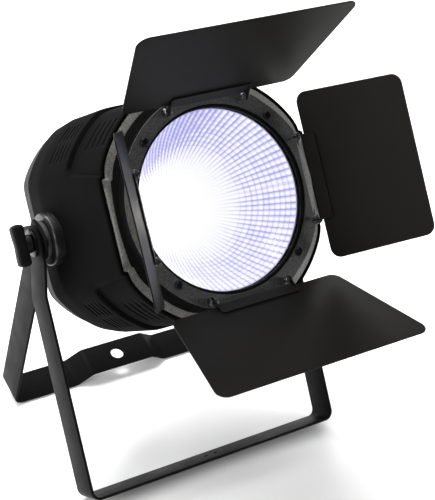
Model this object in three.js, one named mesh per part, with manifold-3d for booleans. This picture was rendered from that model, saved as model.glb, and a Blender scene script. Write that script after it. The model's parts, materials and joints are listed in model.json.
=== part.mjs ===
// Par can light: a round COB wash light in a moulded housing, with a four-leaf barn door on the front and
// two U-brackets that open into a floor stand. Millimetres, +Z up. The light faces -Y, aimed up by HEAD_TILT.
// The origin is on the floor, under the middle of the light's overall box.
import * as THREE from 'three';
import { mergeVertices } from 'three/addons/utils/BufferGeometryUtils.js';
import Module from 'manifold-3d';

const wasm = await Module();
wasm.setup();

// ---- driving dimensions -------------------------------------------------------------------------------
const GAP = 0.3; // clearance between pieces that touch
const HEAD_TILT = 30; // degrees, how far the light is aimed up

const LENS_R = 75; // visible light opening; rims, hinges and flats are set outward from it
const SEAT_R = LENS_R + 4; // glass, gasket and reflector rim
const NOSE_R = LENS_R + 13; // the bezel's round nose
const FRAME_HOLE_R = LENS_R + 2.5;
const FRAME_R = LENS_R + 15; // barn door frame, before its four straight sides
const FRAME_SIDE = LENS_R + 5.5; // centre to a straight side at left and right
const FRAME_TOP = LENS_R + 8; // centre to a straight side at top and bottom
const FRAME_SCREW_R = LENS_R + 7; // circle of the four frame screws
const FRAME_T = 1.5;
const SCREW_R = 1.5;
const SCREW_HEAD_R = 3.6;
const SCREW_HEAD_H = 2;
const SCREW_REACH = 3.5; // frame screw past the back of the frame

const SIDE_PIN_X = LENS_R + 1; // hinge axis of the left and right leaves
const SIDE_PIN_SPREAD = 35; // half the distance between their two hinge screws
const TOP_PIN_Z = LENS_R + 2.5; // hinge axis of the top and bottom leaves
const TOP_PIN_SPREAD = 36;
const PIN_RISE = 9; // hinge axis in front of the frame
const PIN_R = 1.5;
const PIN_HEAD_R = 2.6;
const PIN_HEAD_H = 1.8;
const NUT_R = 2.9;
const NUT_H = 2.3;
const EAR_R = 3.2; // round end of a frame ear
const EAR_T = 1.5;
const EAR_INSET = 1.8; // hinge point to a frame ear's inner face
const LEAF_EAR_R = 4;
const LEAF_T = 1.2;
const LEAF_CORNER = 9;
const LEAF_START = 5.5; // hinge axis to a leaf's inner edge
const LEAF_SEAT = 1.5; // hinge axis to the hinge strip's outer face
const STRIP_START = 4.2; // hinge axis to the hinge strip
const STRIP_STOP = 16;
// a leaf's length, its half widths at the hinge and at the free end, and its angle from flat open
const SIDE_LEAF = { length: 95, inner: LENS_R - 4.3, outer: LENS_R - 9.5, angle: 60 };
const TOP_LEAF = { length: 104, inner: LENS_R + 3.8, outer: LENS_R + 23.8, angle: 65 };
const BOTTOM_LEAF = { ...TOP_LEAF, angle: 58 };

const FRONT_TO_PIVOT = 126; // frame's front face to the tilt axis
const BEZEL_SET = 12; // frame's front face to the bezel flange
const FLANGE_INSET = 0.6; // the bezel flange is this much inside the body's outline
const GLASS_SET = 5; // frame's front face to the glass
const GLASS_T = 3;
const GASKET_T = 1.5;
const WALL = 3;

const HOUSING_FRONT_R = LENS_R + 30.5; // round corners of the body, at its front, ridge and back
const HOUSING_RIDGE_R = LENS_R + 33;
const HOUSING_BACK_R = LENS_R + 28;
const SIDE_FLAT = LENS_R + 20.5; // flats on the left and right, at the same three stations
const SIDE_FLAT_RIDGE = LENS_R + 23;
const SIDE_FLAT_BACK = LENS_R + 15;
const TOP_FLAT = LENS_R + 18.2; // flats on the top and bottom
const TOP_FLAT_BACK = LENS_R + 13;
const RIDGE_SET = 133; // ridge, cover joint and back face behind the frame's front face
const COVER_SET = 165;
const BACK_SET = 196;
const RECESS = 3.5; // the front zone is lower than the cheeks and the rear zone
const RECESS_SET = 78;
const CHEEK_FRONT = 37; // half height of the cheek at the front and at the recess's end
const CHEEK_REAR = 45;
const BODY_ARC = 6; // sides of each round corner of the body

// rows of vent slots: distance of the first behind the frame, pitch, count, and the slots' spans in degrees
const VENT_W = 2.4;
const FRONT_VENTS = { first: 22, pitch: 10.5, count: 4, spans: [[37.5, 51.4]] };
const REAR_VENTS = { first: 85, pitch: 7.3, count: 5, spans: [[33.5, 41.7], [44.5, 52.7]] };

const BOSS_R = 23;
const BOSS_FACE = SIDE_FLAT + 13.5; // centre to the boss's face
const INSERT_R = 7;
const INSERT_DEPTH = 13;
const STUD_R = 4;
const PAD_R = 17; // rubber friction pad between boss and rear bracket
const PAD_T = 3.9;
const WASHER_R = 14;
const KNOB_WASHER_R = 12;
const WASHER_T = 1.2;
const STRIP_W = 31;
const STRIP_T = 2.5;
const STRIP_END = 15; // strip above the pivot
const STRIP_CORNER = 5; // rounded corners of a strip's ends
const BEND_R = 9; // outer radius of a bracket's bends
const SOFT_BEND_R = 6; // the front bracket's jog
const FRONT_JOG = 5.7; // how far the front bracket steps outward
const FRONT_LENGTH = 226; // pivot to the bottom face of the front bracket
const FRONT_LEAN = 28.3; // degrees in front of upright
const REAR_LEAN = 20.4; // degrees behind upright
const JOG_TOP = 19; // the front bracket's outward jog, below the pivot
const JOG_BOTTOM = 46;
const REAR_RAISE = 10; // raised middle of the rear bracket's bar
const REAR_RAISE_HALF = 33;
const RAISE_RUN = 15;
const RAISE_BEND_R = 8;
const CLAMP_HOLE_R = 6.5;
const BAR_HOLE_R = 2; // two small holes in the middle of the front bar
const BAR_HOLE_X = 5;

const KNOB_WING = 18.5; // half length of the T-shaped wing
const KNOB_WING_W = 11;
const KNOB_WING_T = 11;
const KNOB_HUB_R = 8;
const KNOB_HUB_L = 3.5;

const REFLECTOR_DEPTH = 70;
const REFLECTOR_WALL = 1.4;
const BOWL_STEPS = 6;
const THROAT_R = 16;
const EMITTER_R = 13;
const EMITTER_T = 1.7;
const BOARD_HALF = 22;
const BOARD_T = 2.1;
const SUPPLY = { halfX: 40, length: 78, height: 22, off: 3.5 }; // off the housing's inner face
const SINK_CLEAR = 8; // heatsink to power supply
const SINK_BASE = 8;
const SINK_FIN_H = 42;
const SINK_FINS = 13;
const FIN_T = 2;
const FIN_SPREAD = 0.86; // share of the base's width that carries fins
const FAN_CLEAR = 2;
const FAN_HALF = 40;
const FAN_DEPTH = 20;
const FAN_HUB_R = 15;
const FAN_CORNER = 5;
const FAN_STRUT = 3;
const BLADES = 7;
const BLADE_PITCH = 38; // degrees

const SAFETY_EYE = { z: TOP_FLAT_BACK - 18, half: 11, rod: 2.2, reach: 14, plate: 6, plateT: 2.5 };
const WINDOW = { x: 0, z: SAFETY_EYE.z - 30, halfX: 30, halfZ: 13, lip: 3, proud: 0.6 };
const BUTTON_R = 5;
const BUTTON_Z = WINDOW.z - 28;
const BUTTON_PITCH = 16;
const BUTTON_OUT = 2;
const BUTTON_FLANGE = 1.3;
const SOCKET_T = 2; // a socket's flange on the panel
const SIGNAL_SOCKET = { x: 22, z: 26 - TOP_FLAT_BACK, radius: 11, bore: 8.5, depth: 10 };
const POWER_SOCKET = { x: 45, z: SIGNAL_SOCKET.z + 32, halfX: 14, halfZ: 10, depth: 12, wall: 2 };
const FUSE = { x: 0, z: POWER_SOCKET.z, radius: 7, height: 4.5, depth: 16 };

const ROUND = 48; // sides of a large circle
const SMALL_ROUND = 12;
const PAST = 2; // a cutter runs this far past the faces that it cuts

// ---- helpers ------------------------------------------------------------------------------------------
const rad = THREE.MathUtils.degToRad;
const light = new THREE.Group();

/** A closed geometry as a solid that can be cut and joined. */
function solid(geometry) {
  const bare = geometry.clone();
  bare.deleteAttribute('normal');
  bare.deleteAttribute('uv');
  const merged = mergeVertices(bare.index ? bare.toNonIndexed() : bare, 1e-4);
  return new wasm.Manifold(new wasm.Mesh({
    numProp: 3,
    vertProperties: new Float32Array(merged.attributes.position.array),
    triVerts: new Uint32Array(merged.index.array),
  }));
}

/** The solid's surface as a geometry for a mesh. */
function surface(body) {
  const mesh = body.getMesh();
  const geometry = new THREE.BufferGeometry();
  geometry.setAttribute('position', new THREE.BufferAttribute(new Float32Array(mesh.vertProperties), 3));
  geometry.setIndex(new THREE.BufferAttribute(new Uint32Array(mesh.triVerts), 1));
  return geometry;
}

const cut = (base, ...tools) => tools.reduce((body, tool) => body.subtract(solid(tool)), solid(base));
const join = (base, ...more) => more.reduce((body, piece) => body.add(solid(piece)), solid(base));

/** A disc or ring about Y, turned from [radius, y] points that start and end on the axis or close. */
function turned(profile, sides = ROUND) {
  return new THREE.LatheGeometry(profile.map(([r, y]) => new THREE.Vector2(r, y)), sides);
}

function discY(radius, front, back, sides = ROUND) {
  return turned([[0, front], [radius, front], [radius, back], [0, back]], sides);
}

function ringY(inner, outer, front, back, sides = ROUND) {
  return turned([[inner, front], [outer, front], [outer, back], [inner, back], [inner, front]], sides);
}

/** A round bar along X from x0 to x1. */
function barX(radius, x0, x1, y = 0, z = 0, sides = SMALL_ROUND) {
  return new THREE.CylinderGeometry(radius, radius, x1 - x0, sides).rotateZ(-Math.PI / 2)
    .translate((x0 + x1) / 2, y, z);
}

function box(x0, x1, y0, y1, z0, z1) {
  return new THREE.BoxGeometry(x1 - x0, y1 - y0, z1 - z0)
    .translate((x0 + x1) / 2, (y0 + y1) / 2, (z0 + z1) / 2);
}

/** A flat outline in XZ, extruded from y = front to y = back. */
function plateY(shape, front, back, curveSegments = 6) {
  return new THREE.ExtrudeGeometry(shape, { depth: back - front, bevelEnabled: false, curveSegments })
    .rotateX(Math.PI / 2).translate(0, back, 0);
}

/** A polygon with every corner rounded by an arc of its own radius: points are [x, y, radius]. */
function roundedShape(points) {
  const shape = new THREE.Shape();
  points.forEach(([x, y, radius], i) => {
    const corner = new THREE.Vector2(x, y);
    const before = points[(i + points.length - 1) % points.length];
    const after = points[(i + 1) % points.length];
    const toBefore = new THREE.Vector2(before[0] - x, before[1] - y).normalize();
    const toAfter = new THREE.Vector2(after[0] - x, after[1] - y).normalize();
    const half = Math.acos(THREE.MathUtils.clamp(toBefore.dot(toAfter), -1, 1)) / 2;
    const run = radius / Math.tan(half);
    const start = corner.clone().addScaledVector(toBefore, run);
    const end = corner.clone().addScaledVector(toAfter, run);
    if (i === 0) shape.moveTo(start.x, start.y);
    else shape.lineTo(start.x, start.y);
    if (radius > 0) shape.quadraticCurveTo(x, y, end.x, end.y);
  });
  shape.closePath();
  return shape;
}

const circleHole = (x, y, r) => new THREE.Path().absarc(x, y, r, 0, 2 * Math.PI, true);

function paint(color, roughness, metalness) {
  return new THREE.MeshStandardMaterial({ color, roughness, metalness });
}

const paints = {
  housing: () => paint(0x1c1c1e, 0.5, 0),
  powder: () => paint(0x18181a, 0.55, 0.3),
  leaf: () => paint(0x202022, 0.5, 0.3),
  steel: () => paint(0x8a8b8e, 0.35, 0.9),
  rubber: () => paint(0x101010, 0.85, 0),
  alloy: () => paint(0xb4b6ba, 0.35, 0.9),
  mirror: () => paint(0xe4e4f2, 0.12, 0.95),
  glass: () => paint(0xe8f0f4, 0.05, 0),
  brass: () => paint(0xb58f4a, 0.35, 0.9),
  board: () => paint(0x1e4a2c, 0.6, 0.1),
  phosphor: () => paint(0xf4dc7a, 0.5, 0),
  white: () => paint(0xe9e9e4, 0.5, 0),
  display: () => paint(0x10141c, 0.15, 0),
};

function piece(group, name, geometry, finish) {
  const mesh = new THREE.Mesh(geometry, paints[finish]());
  mesh.name = name;
  group.add(mesh);
  return mesh;
}

// ---- stations along the head, from its pivot axis: -Y is the front ------------------------------------
const frameFront = -FRONT_TO_PIVOT;
const frameBack = frameFront + FRAME_T;
const bezelFlange = frameFront + BEZEL_SET;
const bezelBack = bezelFlange + WALL;
const glassFront = frameFront + GLASS_SET;
const glassBack = glassFront + GLASS_T;
const gasketFront = glassBack + GAP;
const gasketBack = gasketFront + GASKET_T;
const rimFront = gasketBack + GAP;
const reflectorBack = rimFront + REFLECTOR_DEPTH;
const ledFront = reflectorBack + GAP;
const boardFront = ledFront + EMITTER_T + GAP;
const sinkFront = boardFront + BOARD_T + GAP;
const sinkFins = sinkFront + SINK_BASE;
const fanFront = sinkFins + SINK_FIN_H + FAN_CLEAR;
const recessEnd = frameFront + RECESS_SET;
const ridge = frameFront + RIDGE_SET;
const coverJoint = frameFront + COVER_SET;
const back = frameFront + BACK_SET;
const supplyBottom = SUPPLY.off - (TOP_FLAT - RECESS - WALL);
const sinkRadius = -(supplyBottom + SUPPLY.height) - SINK_CLEAR;
const screwPlaces = [45, 135, 225, 315].map((a) => [FRAME_SCREW_R * Math.cos(rad(a)),
  FRAME_SCREW_R * Math.sin(rad(a))]);
const buttonPlaces = [-1.5, -0.5, 0.5, 1.5].map((step) => step * BUTTON_PITCH);
const pivotHeight = FRONT_LENGTH * Math.cos(rad(FRONT_LEAN)) + (STRIP_W / 2) * Math.sin(rad(FRONT_LEAN));

const head = new THREE.Group();
head.position.z = pivotHeight;
head.rotation.x = -rad(HEAD_TILT);
light.add(head);

// ---- housing ------------------------------------------------------------------------------------------
/** Round radius and flats of the body at station y; `lower` shrinks them all. */
function bodySize(y, lower) {
  const mix = (y0, v0, y1, v1) => v0 + ((v1 - v0) * (y - y0)) / (y1 - y0);
  const rear = y > ridge;
  return {
    round: (rear ? mix(ridge, HOUSING_RIDGE_R, back, HOUSING_BACK_R)
      : mix(bezelFlange, HOUSING_FRONT_R, ridge, HOUSING_RIDGE_R)) - lower,
    side: (rear ? mix(ridge, SIDE_FLAT_RIDGE, back, SIDE_FLAT_BACK)
      : mix(bezelFlange, SIDE_FLAT, ridge, SIDE_FLAT_RIDGE)) - lower,
    top: (rear ? mix(ridge, TOP_FLAT, back, TOP_FLAT_BACK) : TOP_FLAT) - lower,
  };
}

/** A closed loft of the body's section through the given stations: circle arcs between four flats. */
function bodyLoft(stations, lower) {
  const rings = stations.map((y) => {
    const { round, side, top } = bodySize(y, lower);
    const low = Math.acos(Math.min(1, side / round));
    const high = Math.asin(Math.min(1, top / round));
    const ring = [];
    for (let quarter = 0; quarter < 4; quarter += 1) {
      for (let i = 0; i <= BODY_ARC; i += 1) {
        const share = (quarter % 2 === 0 ? i : BODY_ARC - i) / BODY_ARC;
        const a = low + (high - low) * share;
        const x = round * Math.cos(a) * (quarter === 0 || quarter === 3 ? 1 : -1);
        const z = round * Math.sin(a) * (quarter < 2 ? 1 : -1);
        ring.push([x, y, z]);
      }
    }
    return ring;
  });
  const count = rings[0].length;
  const positions = rings.flat(2);
  const triangles = [];
  rings.slice(1).forEach((ring, k) => {
    for (let i = 0; i < count; i += 1) {
      const j = (i + 1) % count;
      const [a, b, c, d] = [k * count + i, k * count + j, (k + 1) * count + j, (k + 1) * count + i];
      triangles.push(a, c, b, a, d, c);
    }
  });
  const last = (rings.length - 1) * count;
  for (let i = 1; i < count - 1; i += 1) {
    triangles.push(0, i, i + 1);
    triangles.push(last, last + i + 1, last + i);
  }
  const geometry = new THREE.BufferGeometry();
  geometry.setAttribute('position', new THREE.Float32BufferAttribute(positions, 3));
  geometry.setIndex(triangles);
  return geometry;
}

/** The wedge above (or below) a cheek, from in front of the housing to the recess's end. */
function recessWedge(sign) {
  const far = HOUSING_RIDGE_R + 15;
  const start = bezelFlange - 5;
  const shape = new THREE.Shape([
    new THREE.Vector2(start, CHEEK_FRONT),
    new THREE.Vector2(recessEnd - 6, CHEEK_REAR),
    new THREE.Vector2(recessEnd, CHEEK_REAR + 5),
    new THREE.Vector2(recessEnd, far),
    new THREE.Vector2(start, far),
  ]);
  const wedge = new THREE.ExtrudeGeometry(shape, { depth: 2 * far, bevelEnabled: false });
  const acrossBody = new THREE.Matrix4().set(0, 0, 1, -far, 1, 0, 0, 0, 0, 1, 0, 0, 0, 0, 0, 1);
  const placed = wedge.applyMatrix4(acrossBody);
  return sign > 0 ? placed : placed.rotateY(Math.PI);
}

/** A vent slot's cutter: a thin wedge across the body's wall, between two angles, at station y. */
function ventCutter(y, [from, to], mirrorX, mirrorZ) {
  const at = (radius, angle) => new THREE.Vector2(mirrorX * radius * Math.cos(rad(angle)),
    mirrorZ * radius * Math.sin(rad(angle)));
  const [outside, inside] = [HOUSING_RIDGE_R + 8, HOUSING_FRONT_R - 14];
  const shape = new THREE.Shape([at(outside, from), at(outside, to), at(inside, to), at(inside, from)]);
  return plateY(shape, y - VENT_W / 2, y + VENT_W / 2);
}

/** Cutters for both rows of vents in all four quarters of the body. */
function ventCutters() {
  const cutters = [];
  for (const [mirrorX, mirrorZ] of [[1, 1], [1, -1], [-1, 1], [-1, -1]]) {
    for (const { first, pitch, count, spans } of [FRONT_VENTS, REAR_VENTS]) {
      for (let i = 0; i < count; i += 1) {
        const y = frameFront + first + i * pitch;
        for (const span of spans) cutters.push(ventCutter(y, span, mirrorX, mirrorZ));
      }
    }
  }
  return cutters;
}

/** The body's full outline as a solid through the given stations, with its front zones lowered. */
function bodyOutline(stations, lower) {
  const lowered = solid(bodyLoft([bezelFlange - 10, ridge], RECESS + lower));
  const outline = solid(bodyLoft(stations, lower));
  return [1, -1].reduce((body, sign) => body.subtract(solid(recessWedge(sign)).subtract(lowered)), outline);
}

/** The moulded body: a shell open at both ends, with vents and a boss at each pivot. */
function mainHousing() {
  const hollow = solid(bodyLoft([bezelFlange - 10, ridge, coverJoint + PAST], RECESS + WALL));
  let body = bodyOutline([bezelBack + GAP, ridge, coverJoint], 0).subtract(hollow);
  const bossFoot = SIDE_FLAT - RECESS - WALL + 1;
  for (const [x0, x1] of [[bossFoot, BOSS_FACE], [-BOSS_FACE, -bossFoot]]) {
    body = body.add(solid(barX(BOSS_R, x0, x1, 0, 0, 40)));
  }
  body = body.subtract(solid(barX(INSERT_R + GAP, -BOSS_FACE - PAST, BOSS_FACE + PAST)));
  return surface(ventCutters().reduce((shell, tool) => shell.subtract(solid(tool)), body));
}

/** A disc along Y whose axis passes through (x, z). */
function discAt(x, z, radius, front, rear, sides = 24) {
  return discY(radius, front, rear, sides).translate(x, 0, z);
}

/** The rear cover: a tapering shell with a flat back, cut out for the controls and sockets. */
function rearCover() {
  const front = coverJoint + GAP;
  const [inside, outside] = [back - WALL - PAST, back + PAST];
  const shell = solid(bodyLoft([front, back], 0))
    .subtract(solid(bodyLoft([front - PAST, back - WALL], WALL)));
  const hole = (x, z, radius) => discAt(x, z, radius + GAP, inside, outside);
  const slot = (x, z, halfX, halfZ) => box(x - halfX - GAP, x + halfX + GAP, inside, outside,
    z - halfZ - GAP, z + halfZ + GAP);
  const cutters = [
    slot(WINDOW.x, WINDOW.z, WINDOW.halfX, WINDOW.halfZ),
    hole(FUSE.x, FUSE.z, FUSE.radius - 2),
    ...buttonPlaces.map((x) => hole(x, BUTTON_Z, BUTTON_R)),
  ];
  for (const side of [1, -1]) {
    cutters.push(slot(side * POWER_SOCKET.x, POWER_SOCKET.z, POWER_SOCKET.halfX, POWER_SOCKET.halfZ));
    cutters.push(hole(side * SIGNAL_SOCKET.x, SIGNAL_SOCKET.z, SIGNAL_SOCKET.radius));
  }
  return surface(cutters.reduce((body, tool) => body.subtract(solid(tool)), shell));
}

/** The metal front bezel: a flange on the body's outline, a round nose, and blind holes for the screws. */
function frontBezel() {
  const nose = frameBack + GAP;
  const flange = bodyOutline([bezelFlange, bezelBack], FLANGE_INSET);
  const ring = flange.add(solid(discY(NOSE_R, nose, bezelFlange + 1)));
  const bores = [discY(LENS_R, nose - PAST, glassFront),
    discY(SEAT_R + GAP, glassFront - GAP, bezelBack + PAST)];
  const depth = frameBack + SCREW_REACH + 1;
  const blind = screwPlaces.map(([x, z]) => discAt(x, z, SCREW_R + GAP, nose - PAST, depth, 10));
  return surface([...bores, ...blind].reduce((body, tool) => body.subtract(solid(tool)), ring));
}

/** A pan-head screw from the front of the barn door frame into the bezel. */
function frameScrew([x, z]) {
  const seat = frameFront - GAP;
  const end = frameBack + SCREW_REACH;
  const top = seat - SCREW_HEAD_H;
  return turned([[0, top], [SCREW_HEAD_R - 1.2, top], [SCREW_HEAD_R, seat - 1], [SCREW_HEAD_R, seat],
    [SCREW_R, seat], [SCREW_R, end], [0, end]], 10).translate(x, 0, z);
}

piece(head, 'main_housing', mainHousing(), 'housing');
piece(head, 'rear_cover', rearCover(), 'housing');
piece(head, 'front_bezel', frontBezel(), 'powder');
screwPlaces.forEach((place, i) => piece(head, `frame_screw_${i + 1}`, frameScrew(place), 'steel'));

// ---- light engine -------------------------------------------------------------------------------------
/** The bowl: a parabola, in which the square of the radius grows in step with the height. */
function reflector() {
  const mouth = LENS_R - 1;
  const bowl = (offset) => Array.from({ length: BOWL_STEPS + 1 }, (_, i) => {
    const share = (i / BOWL_STEPS) ** 1.6;
    const radius = Math.sqrt(THROAT_R ** 2 + (mouth ** 2 - THROAT_R ** 2) * share);
    return [radius + offset, reflectorBack - REFLECTOR_DEPTH * share];
  });
  const inner = bowl(0);
  const outer = bowl(REFLECTOR_WALL).slice(0, -1).reverse();
  const rimBack = rimFront + REFLECTOR_WALL;
  return turned([...inner, [SEAT_R, rimFront], [SEAT_R, rimBack], [LENS_R + REFLECTOR_WALL, rimBack],
    ...outer, inner[0]], 36);
}

/** The finned heatsink: a round base with straight upright fins behind it. */
function heatsink() {
  const span = 2 * sinkRadius * FIN_SPREAD;
  const fins = Array.from({ length: SINK_FINS }, (_, i) => {
    const x = -span / 2 + (span * i) / (SINK_FINS - 1);
    const half = Math.sqrt(sinkRadius ** 2 - x ** 2) - 1;
    return box(x - FIN_T / 2, x + FIN_T / 2, sinkFins - 1, sinkFins + SINK_FIN_H, -half, half);
  });
  return surface(join(discY(sinkRadius, sinkFront, sinkFins, 40), ...fins));
}

/** The fan's frame: a square duct with three struts and a hub plate across its back. */
function fanFrame() {
  const fanBack = fanFront + FAN_DEPTH;
  const outer = roundedShape([[-FAN_HALF, -FAN_HALF, FAN_CORNER], [FAN_HALF, -FAN_HALF, FAN_CORNER],
    [FAN_HALF, FAN_HALF, FAN_CORNER], [-FAN_HALF, FAN_HALF, FAN_CORNER]]);
  outer.holes.push(circleHole(0, 0, FAN_HALF - 2));
  const bars = [0, 60, 120].map((a) => box(1 - FAN_HALF, FAN_HALF - 1, fanBack - 2, fanBack,
    -FAN_STRUT / 2, FAN_STRUT / 2).rotateY(rad(a)));
  const hub = discY(FAN_HUB_R + 1, fanBack - 2, fanBack, 24);
  return surface(join(plateY(outer, fanFront, fanBack, 9), ...bars, hub));
}

function fanRotor() {
  const blade = () => box(FAN_HUB_R - 2, FAN_HALF - 4, -5, 5, -0.8, 0.8).rotateX(-rad(BLADE_PITCH));
  const blades = Array.from({ length: BLADES }, (_, i) => blade().rotateY((i * 2 * Math.PI) / BLADES)
    .translate(0, fanFront + 8, 0));
  return surface(join(discY(FAN_HUB_R, fanFront + 1, fanFront + FAN_DEPTH - 3, 24), ...blades));
}

const emitterBack = ledFront + EMITTER_T;
const boardBack = boardFront + BOARD_T;
piece(head, 'front_glass', discY(SEAT_R, glassFront, glassBack), 'glass');
piece(head, 'glass_gasket', ringY(LENS_R, SEAT_R, gasketFront, gasketBack, 36), 'rubber');
piece(head, 'reflector', reflector(), 'mirror');
piece(head, 'led_emitter', discY(EMITTER_R, ledFront, emitterBack, 32), 'phosphor');
piece(head, 'led_board', box(-BOARD_HALF, BOARD_HALF, boardFront, boardBack, -BOARD_HALF, BOARD_HALF),
  'white');
piece(head, 'heatsink', heatsink(), 'alloy');
piece(head, 'fan_frame', fanFrame(), 'rubber');
piece(head, 'fan_rotor', fanRotor(), 'rubber');
piece(head, 'power_supply', box(-SUPPLY.halfX, SUPPLY.halfX, sinkFront, sinkFront + SUPPLY.length,
  supplyBottom, supplyBottom + SUPPLY.height), 'alloy');
piece(head, 'control_board', box(-WINDOW.halfX - 14, WINDOW.halfX + 14, back - 11.6, back - 10,
  BUTTON_Z - 10, WINDOW.z + 22), 'board');

// ---- back panel ---------------------------------------------------------------------------------------
const panelInside = back - WALL - GAP;
const socketMouth = back + GAP + SOCKET_T;

/** The display's clear window: it fills its slot, with a lip behind the panel. */
function displayWindow() {
  const { x, z, halfX, halfZ, lip, proud } = WINDOW;
  return surface(join(box(x - halfX, x + halfX, panelInside - 1, back + proud, z - halfZ, z + halfZ),
    box(x - halfX - lip, x + halfX + lip, panelInside - 2, panelInside, z - halfZ - lip, z + halfZ + lip)));
}

/** A menu button: a round cap through the panel, with a flange behind it. */
function button(x) {
  const top = back + BUTTON_OUT;
  const flangeR = BUTTON_R + BUTTON_FLANGE;
  return turned([[0, panelInside - 1.5], [flangeR, panelInside - 1.5], [flangeR, panelInside],
    [BUTTON_R, panelInside], [BUTTON_R, top - 0.6], [BUTTON_R - 0.8, top], [0, top]], 16)
    .translate(x, 0, BUTTON_Z);
}

/** A mains socket: a flange on the panel and a body through it, open at the back. */
function powerSocket(side) {
  const { x, z, halfX, halfZ, depth, wall } = POWER_SOCKET;
  const cx = side * x;
  const bottom = socketMouth - depth;
  const body = join(box(cx - halfX, cx + halfX, bottom - WALL, socketMouth - 1, z - halfZ, z + halfZ),
    box(cx - halfX - 5, cx + halfX + 5, back + GAP, socketMouth, z - halfZ - 2, z + halfZ + 2));
  const pocket = box(cx - halfX + wall, cx + halfX - wall, bottom, socketMouth + PAST,
    z - halfZ + wall, z + halfZ - wall);
  return surface(body.subtract(solid(pocket)));
}

/** A round data socket: a square flange on the panel and a round body through it, open at the back. */
function signalSocket(side) {
  const { x, z, radius, bore, depth } = SIGNAL_SOCKET;
  const cx = side * x;
  const bottom = socketMouth - depth;
  const body = join(discAt(cx, z, radius, bottom - WALL, socketMouth - 1),
    box(cx - radius - 1.5, cx + radius + 1.5, back + GAP, socketMouth, z - radius - 2, z + radius + 2));
  return surface(body.subtract(solid(discAt(cx, z, bore, bottom, socketMouth + PAST))));
}

/** The fuse holder: a body through the panel and a low round cap. */
function fuseCap() {
  const { x, z, radius, height, depth } = FUSE;
  const top = back + height;
  const foot = back + GAP;
  return turned([[0, back - depth], [radius - 2, back - depth], [radius - 2, foot], [radius, foot],
    [radius, top - 1], [radius - 1, top], [0, top]], 20).translate(x, 0, z);
}

/** The safety-cable eye: a rod bent into a loop on a small plate. */
function safetyEye() {
  const { z, half, rod, reach, plate, plateT } = SAFETY_EYE;
  const foot = back + GAP;
  const shoulder = foot + reach - half;
  const crown = foot + reach + 3.6;
  const at = (x, y) => new THREE.Vector3(x, y, z);
  const path = new THREE.CurvePath();
  path.add(new THREE.LineCurve3(at(-half, foot + 1), at(-half, shoulder)));
  path.add(new THREE.CubicBezierCurve3(at(-half, shoulder), at(-half, crown), at(half, crown),
    at(half, shoulder)));
  path.add(new THREE.LineCurve3(at(half, shoulder), at(half, foot + 1)));
  const section = new THREE.Shape().absarc(0, 0, rod, 0, 2 * Math.PI);
  const loop = new THREE.ExtrudeGeometry(section, { steps: 16, curveSegments: 4, extrudePath: path });
  return surface(join(loop, box(-half - plate, half + plate, foot, foot + plateT, z - plate, z + plate)));
}

piece(head, 'display_window', displayWindow(), 'display');
buttonPlaces.forEach((x, i) => piece(head, `menu_button_${i + 1}`, button(x), 'rubber'));
piece(head, 'power_inlet', powerSocket(1), 'rubber');
piece(head, 'power_outlet', powerSocket(-1), 'rubber');
piece(head, 'signal_in', signalSocket(1), 'steel');
piece(head, 'signal_out', signalSocket(-1), 'steel');
piece(head, 'fuse_cap', fuseCap(), 'rubber');
piece(head, 'safety_eye', safetyEye(), 'steel');

// ---- barn door ----------------------------------------------------------------------------------------
/** The four hinges. `turn` swings a hinge drawn on the right-hand side round the light's axis. */
const hinges = [
  { name: 'right', turn: 0, offset: SIDE_PIN_X, spread: SIDE_PIN_SPREAD, leaf: SIDE_LEAF },
  { name: 'top', turn: -90, offset: TOP_PIN_Z, spread: TOP_PIN_SPREAD, leaf: TOP_LEAF },
  { name: 'left', turn: 180, offset: SIDE_PIN_X, spread: SIDE_PIN_SPREAD, leaf: SIDE_LEAF },
  { name: 'bottom', turn: 90, offset: TOP_PIN_Z, spread: TOP_PIN_SPREAD, leaf: BOTTOM_LEAF },
];
const pinY = frameFront - PIN_RISE;
const leafEarInner = (spread) => spread - EAR_INSET + EAR_T + GAP;
const leafEarOuter = (spread) => leafEarInner(spread) + LEAF_T;

/** The frame's outline: a circle cut by four straight sides. */
function frameOutline() {
  const outline = new THREE.Shape();
  const arc = 5;
  const low = Math.acos(FRAME_SIDE / FRAME_R);
  const high = Math.asin(FRAME_TOP / FRAME_R);
  [0, 1, 2, 3].forEach((quarter) => {
    for (let i = 0; i <= arc; i += 1) {
      const share = (quarter % 2 === 0 ? i : arc - i) / arc;
      const a = low + (high - low) * share;
      const x = FRAME_R * Math.cos(a) * (quarter === 0 || quarter === 3 ? 1 : -1);
      const z = FRAME_R * Math.sin(a) * (quarter < 2 ? 1 : -1);
      if (quarter === 0 && i === 0) outline.moveTo(x, z);
      else outline.lineTo(x, z);
    }
  });
  outline.closePath();
  return outline;
}

/** The frame: a flat ring with four straight sides, and two ears for each leaf bent forward. */
function doorFrame() {
  const outline = frameOutline();
  outline.holes.push(circleHole(0, 0, FRAME_HOLE_R));
  const ears = hinges.flatMap((hinge) => [frameEar(hinge, 1), frameEar(hinge, -1)]);
  const plate = join(plateY(outline, frameFront, frameBack, 18), ...ears);
  const holes = screwPlaces.map(([x, z]) => discAt(x, z, SCREW_R + GAP, frameFront - PAST,
    frameBack + PAST, 12));
  return surface(holes.reduce((body, tool) => body.subtract(solid(tool)), plate));
}

/** A tab drawn in the plane across the hinge axis, outward and forward, then stood on the axis. */
function tabAcrossAxis(shape, from, to) {
  const tab = new THREE.ExtrudeGeometry(shape, { depth: to - from, bevelEnabled: false, curveSegments: 4 });
  const basis = new THREE.Matrix4().set(1, 0, 0, 0, 0, -1, 0, 0, 0, 0, 1, from, 0, 0, 0, 1);
  return tab.applyMatrix4(basis);
}

/** Turns a closed geometry's faces round, after a mirror. */
function flipped(geometry) {
  const array = geometry.attributes.position.array;
  for (let i = 0; i < array.length; i += 9) {
    for (let k = i + 3; k < i + 6; k += 1) [array[k], array[k + 3]] = [array[k + 3], array[k]];
  }
  return geometry;
}

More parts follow.
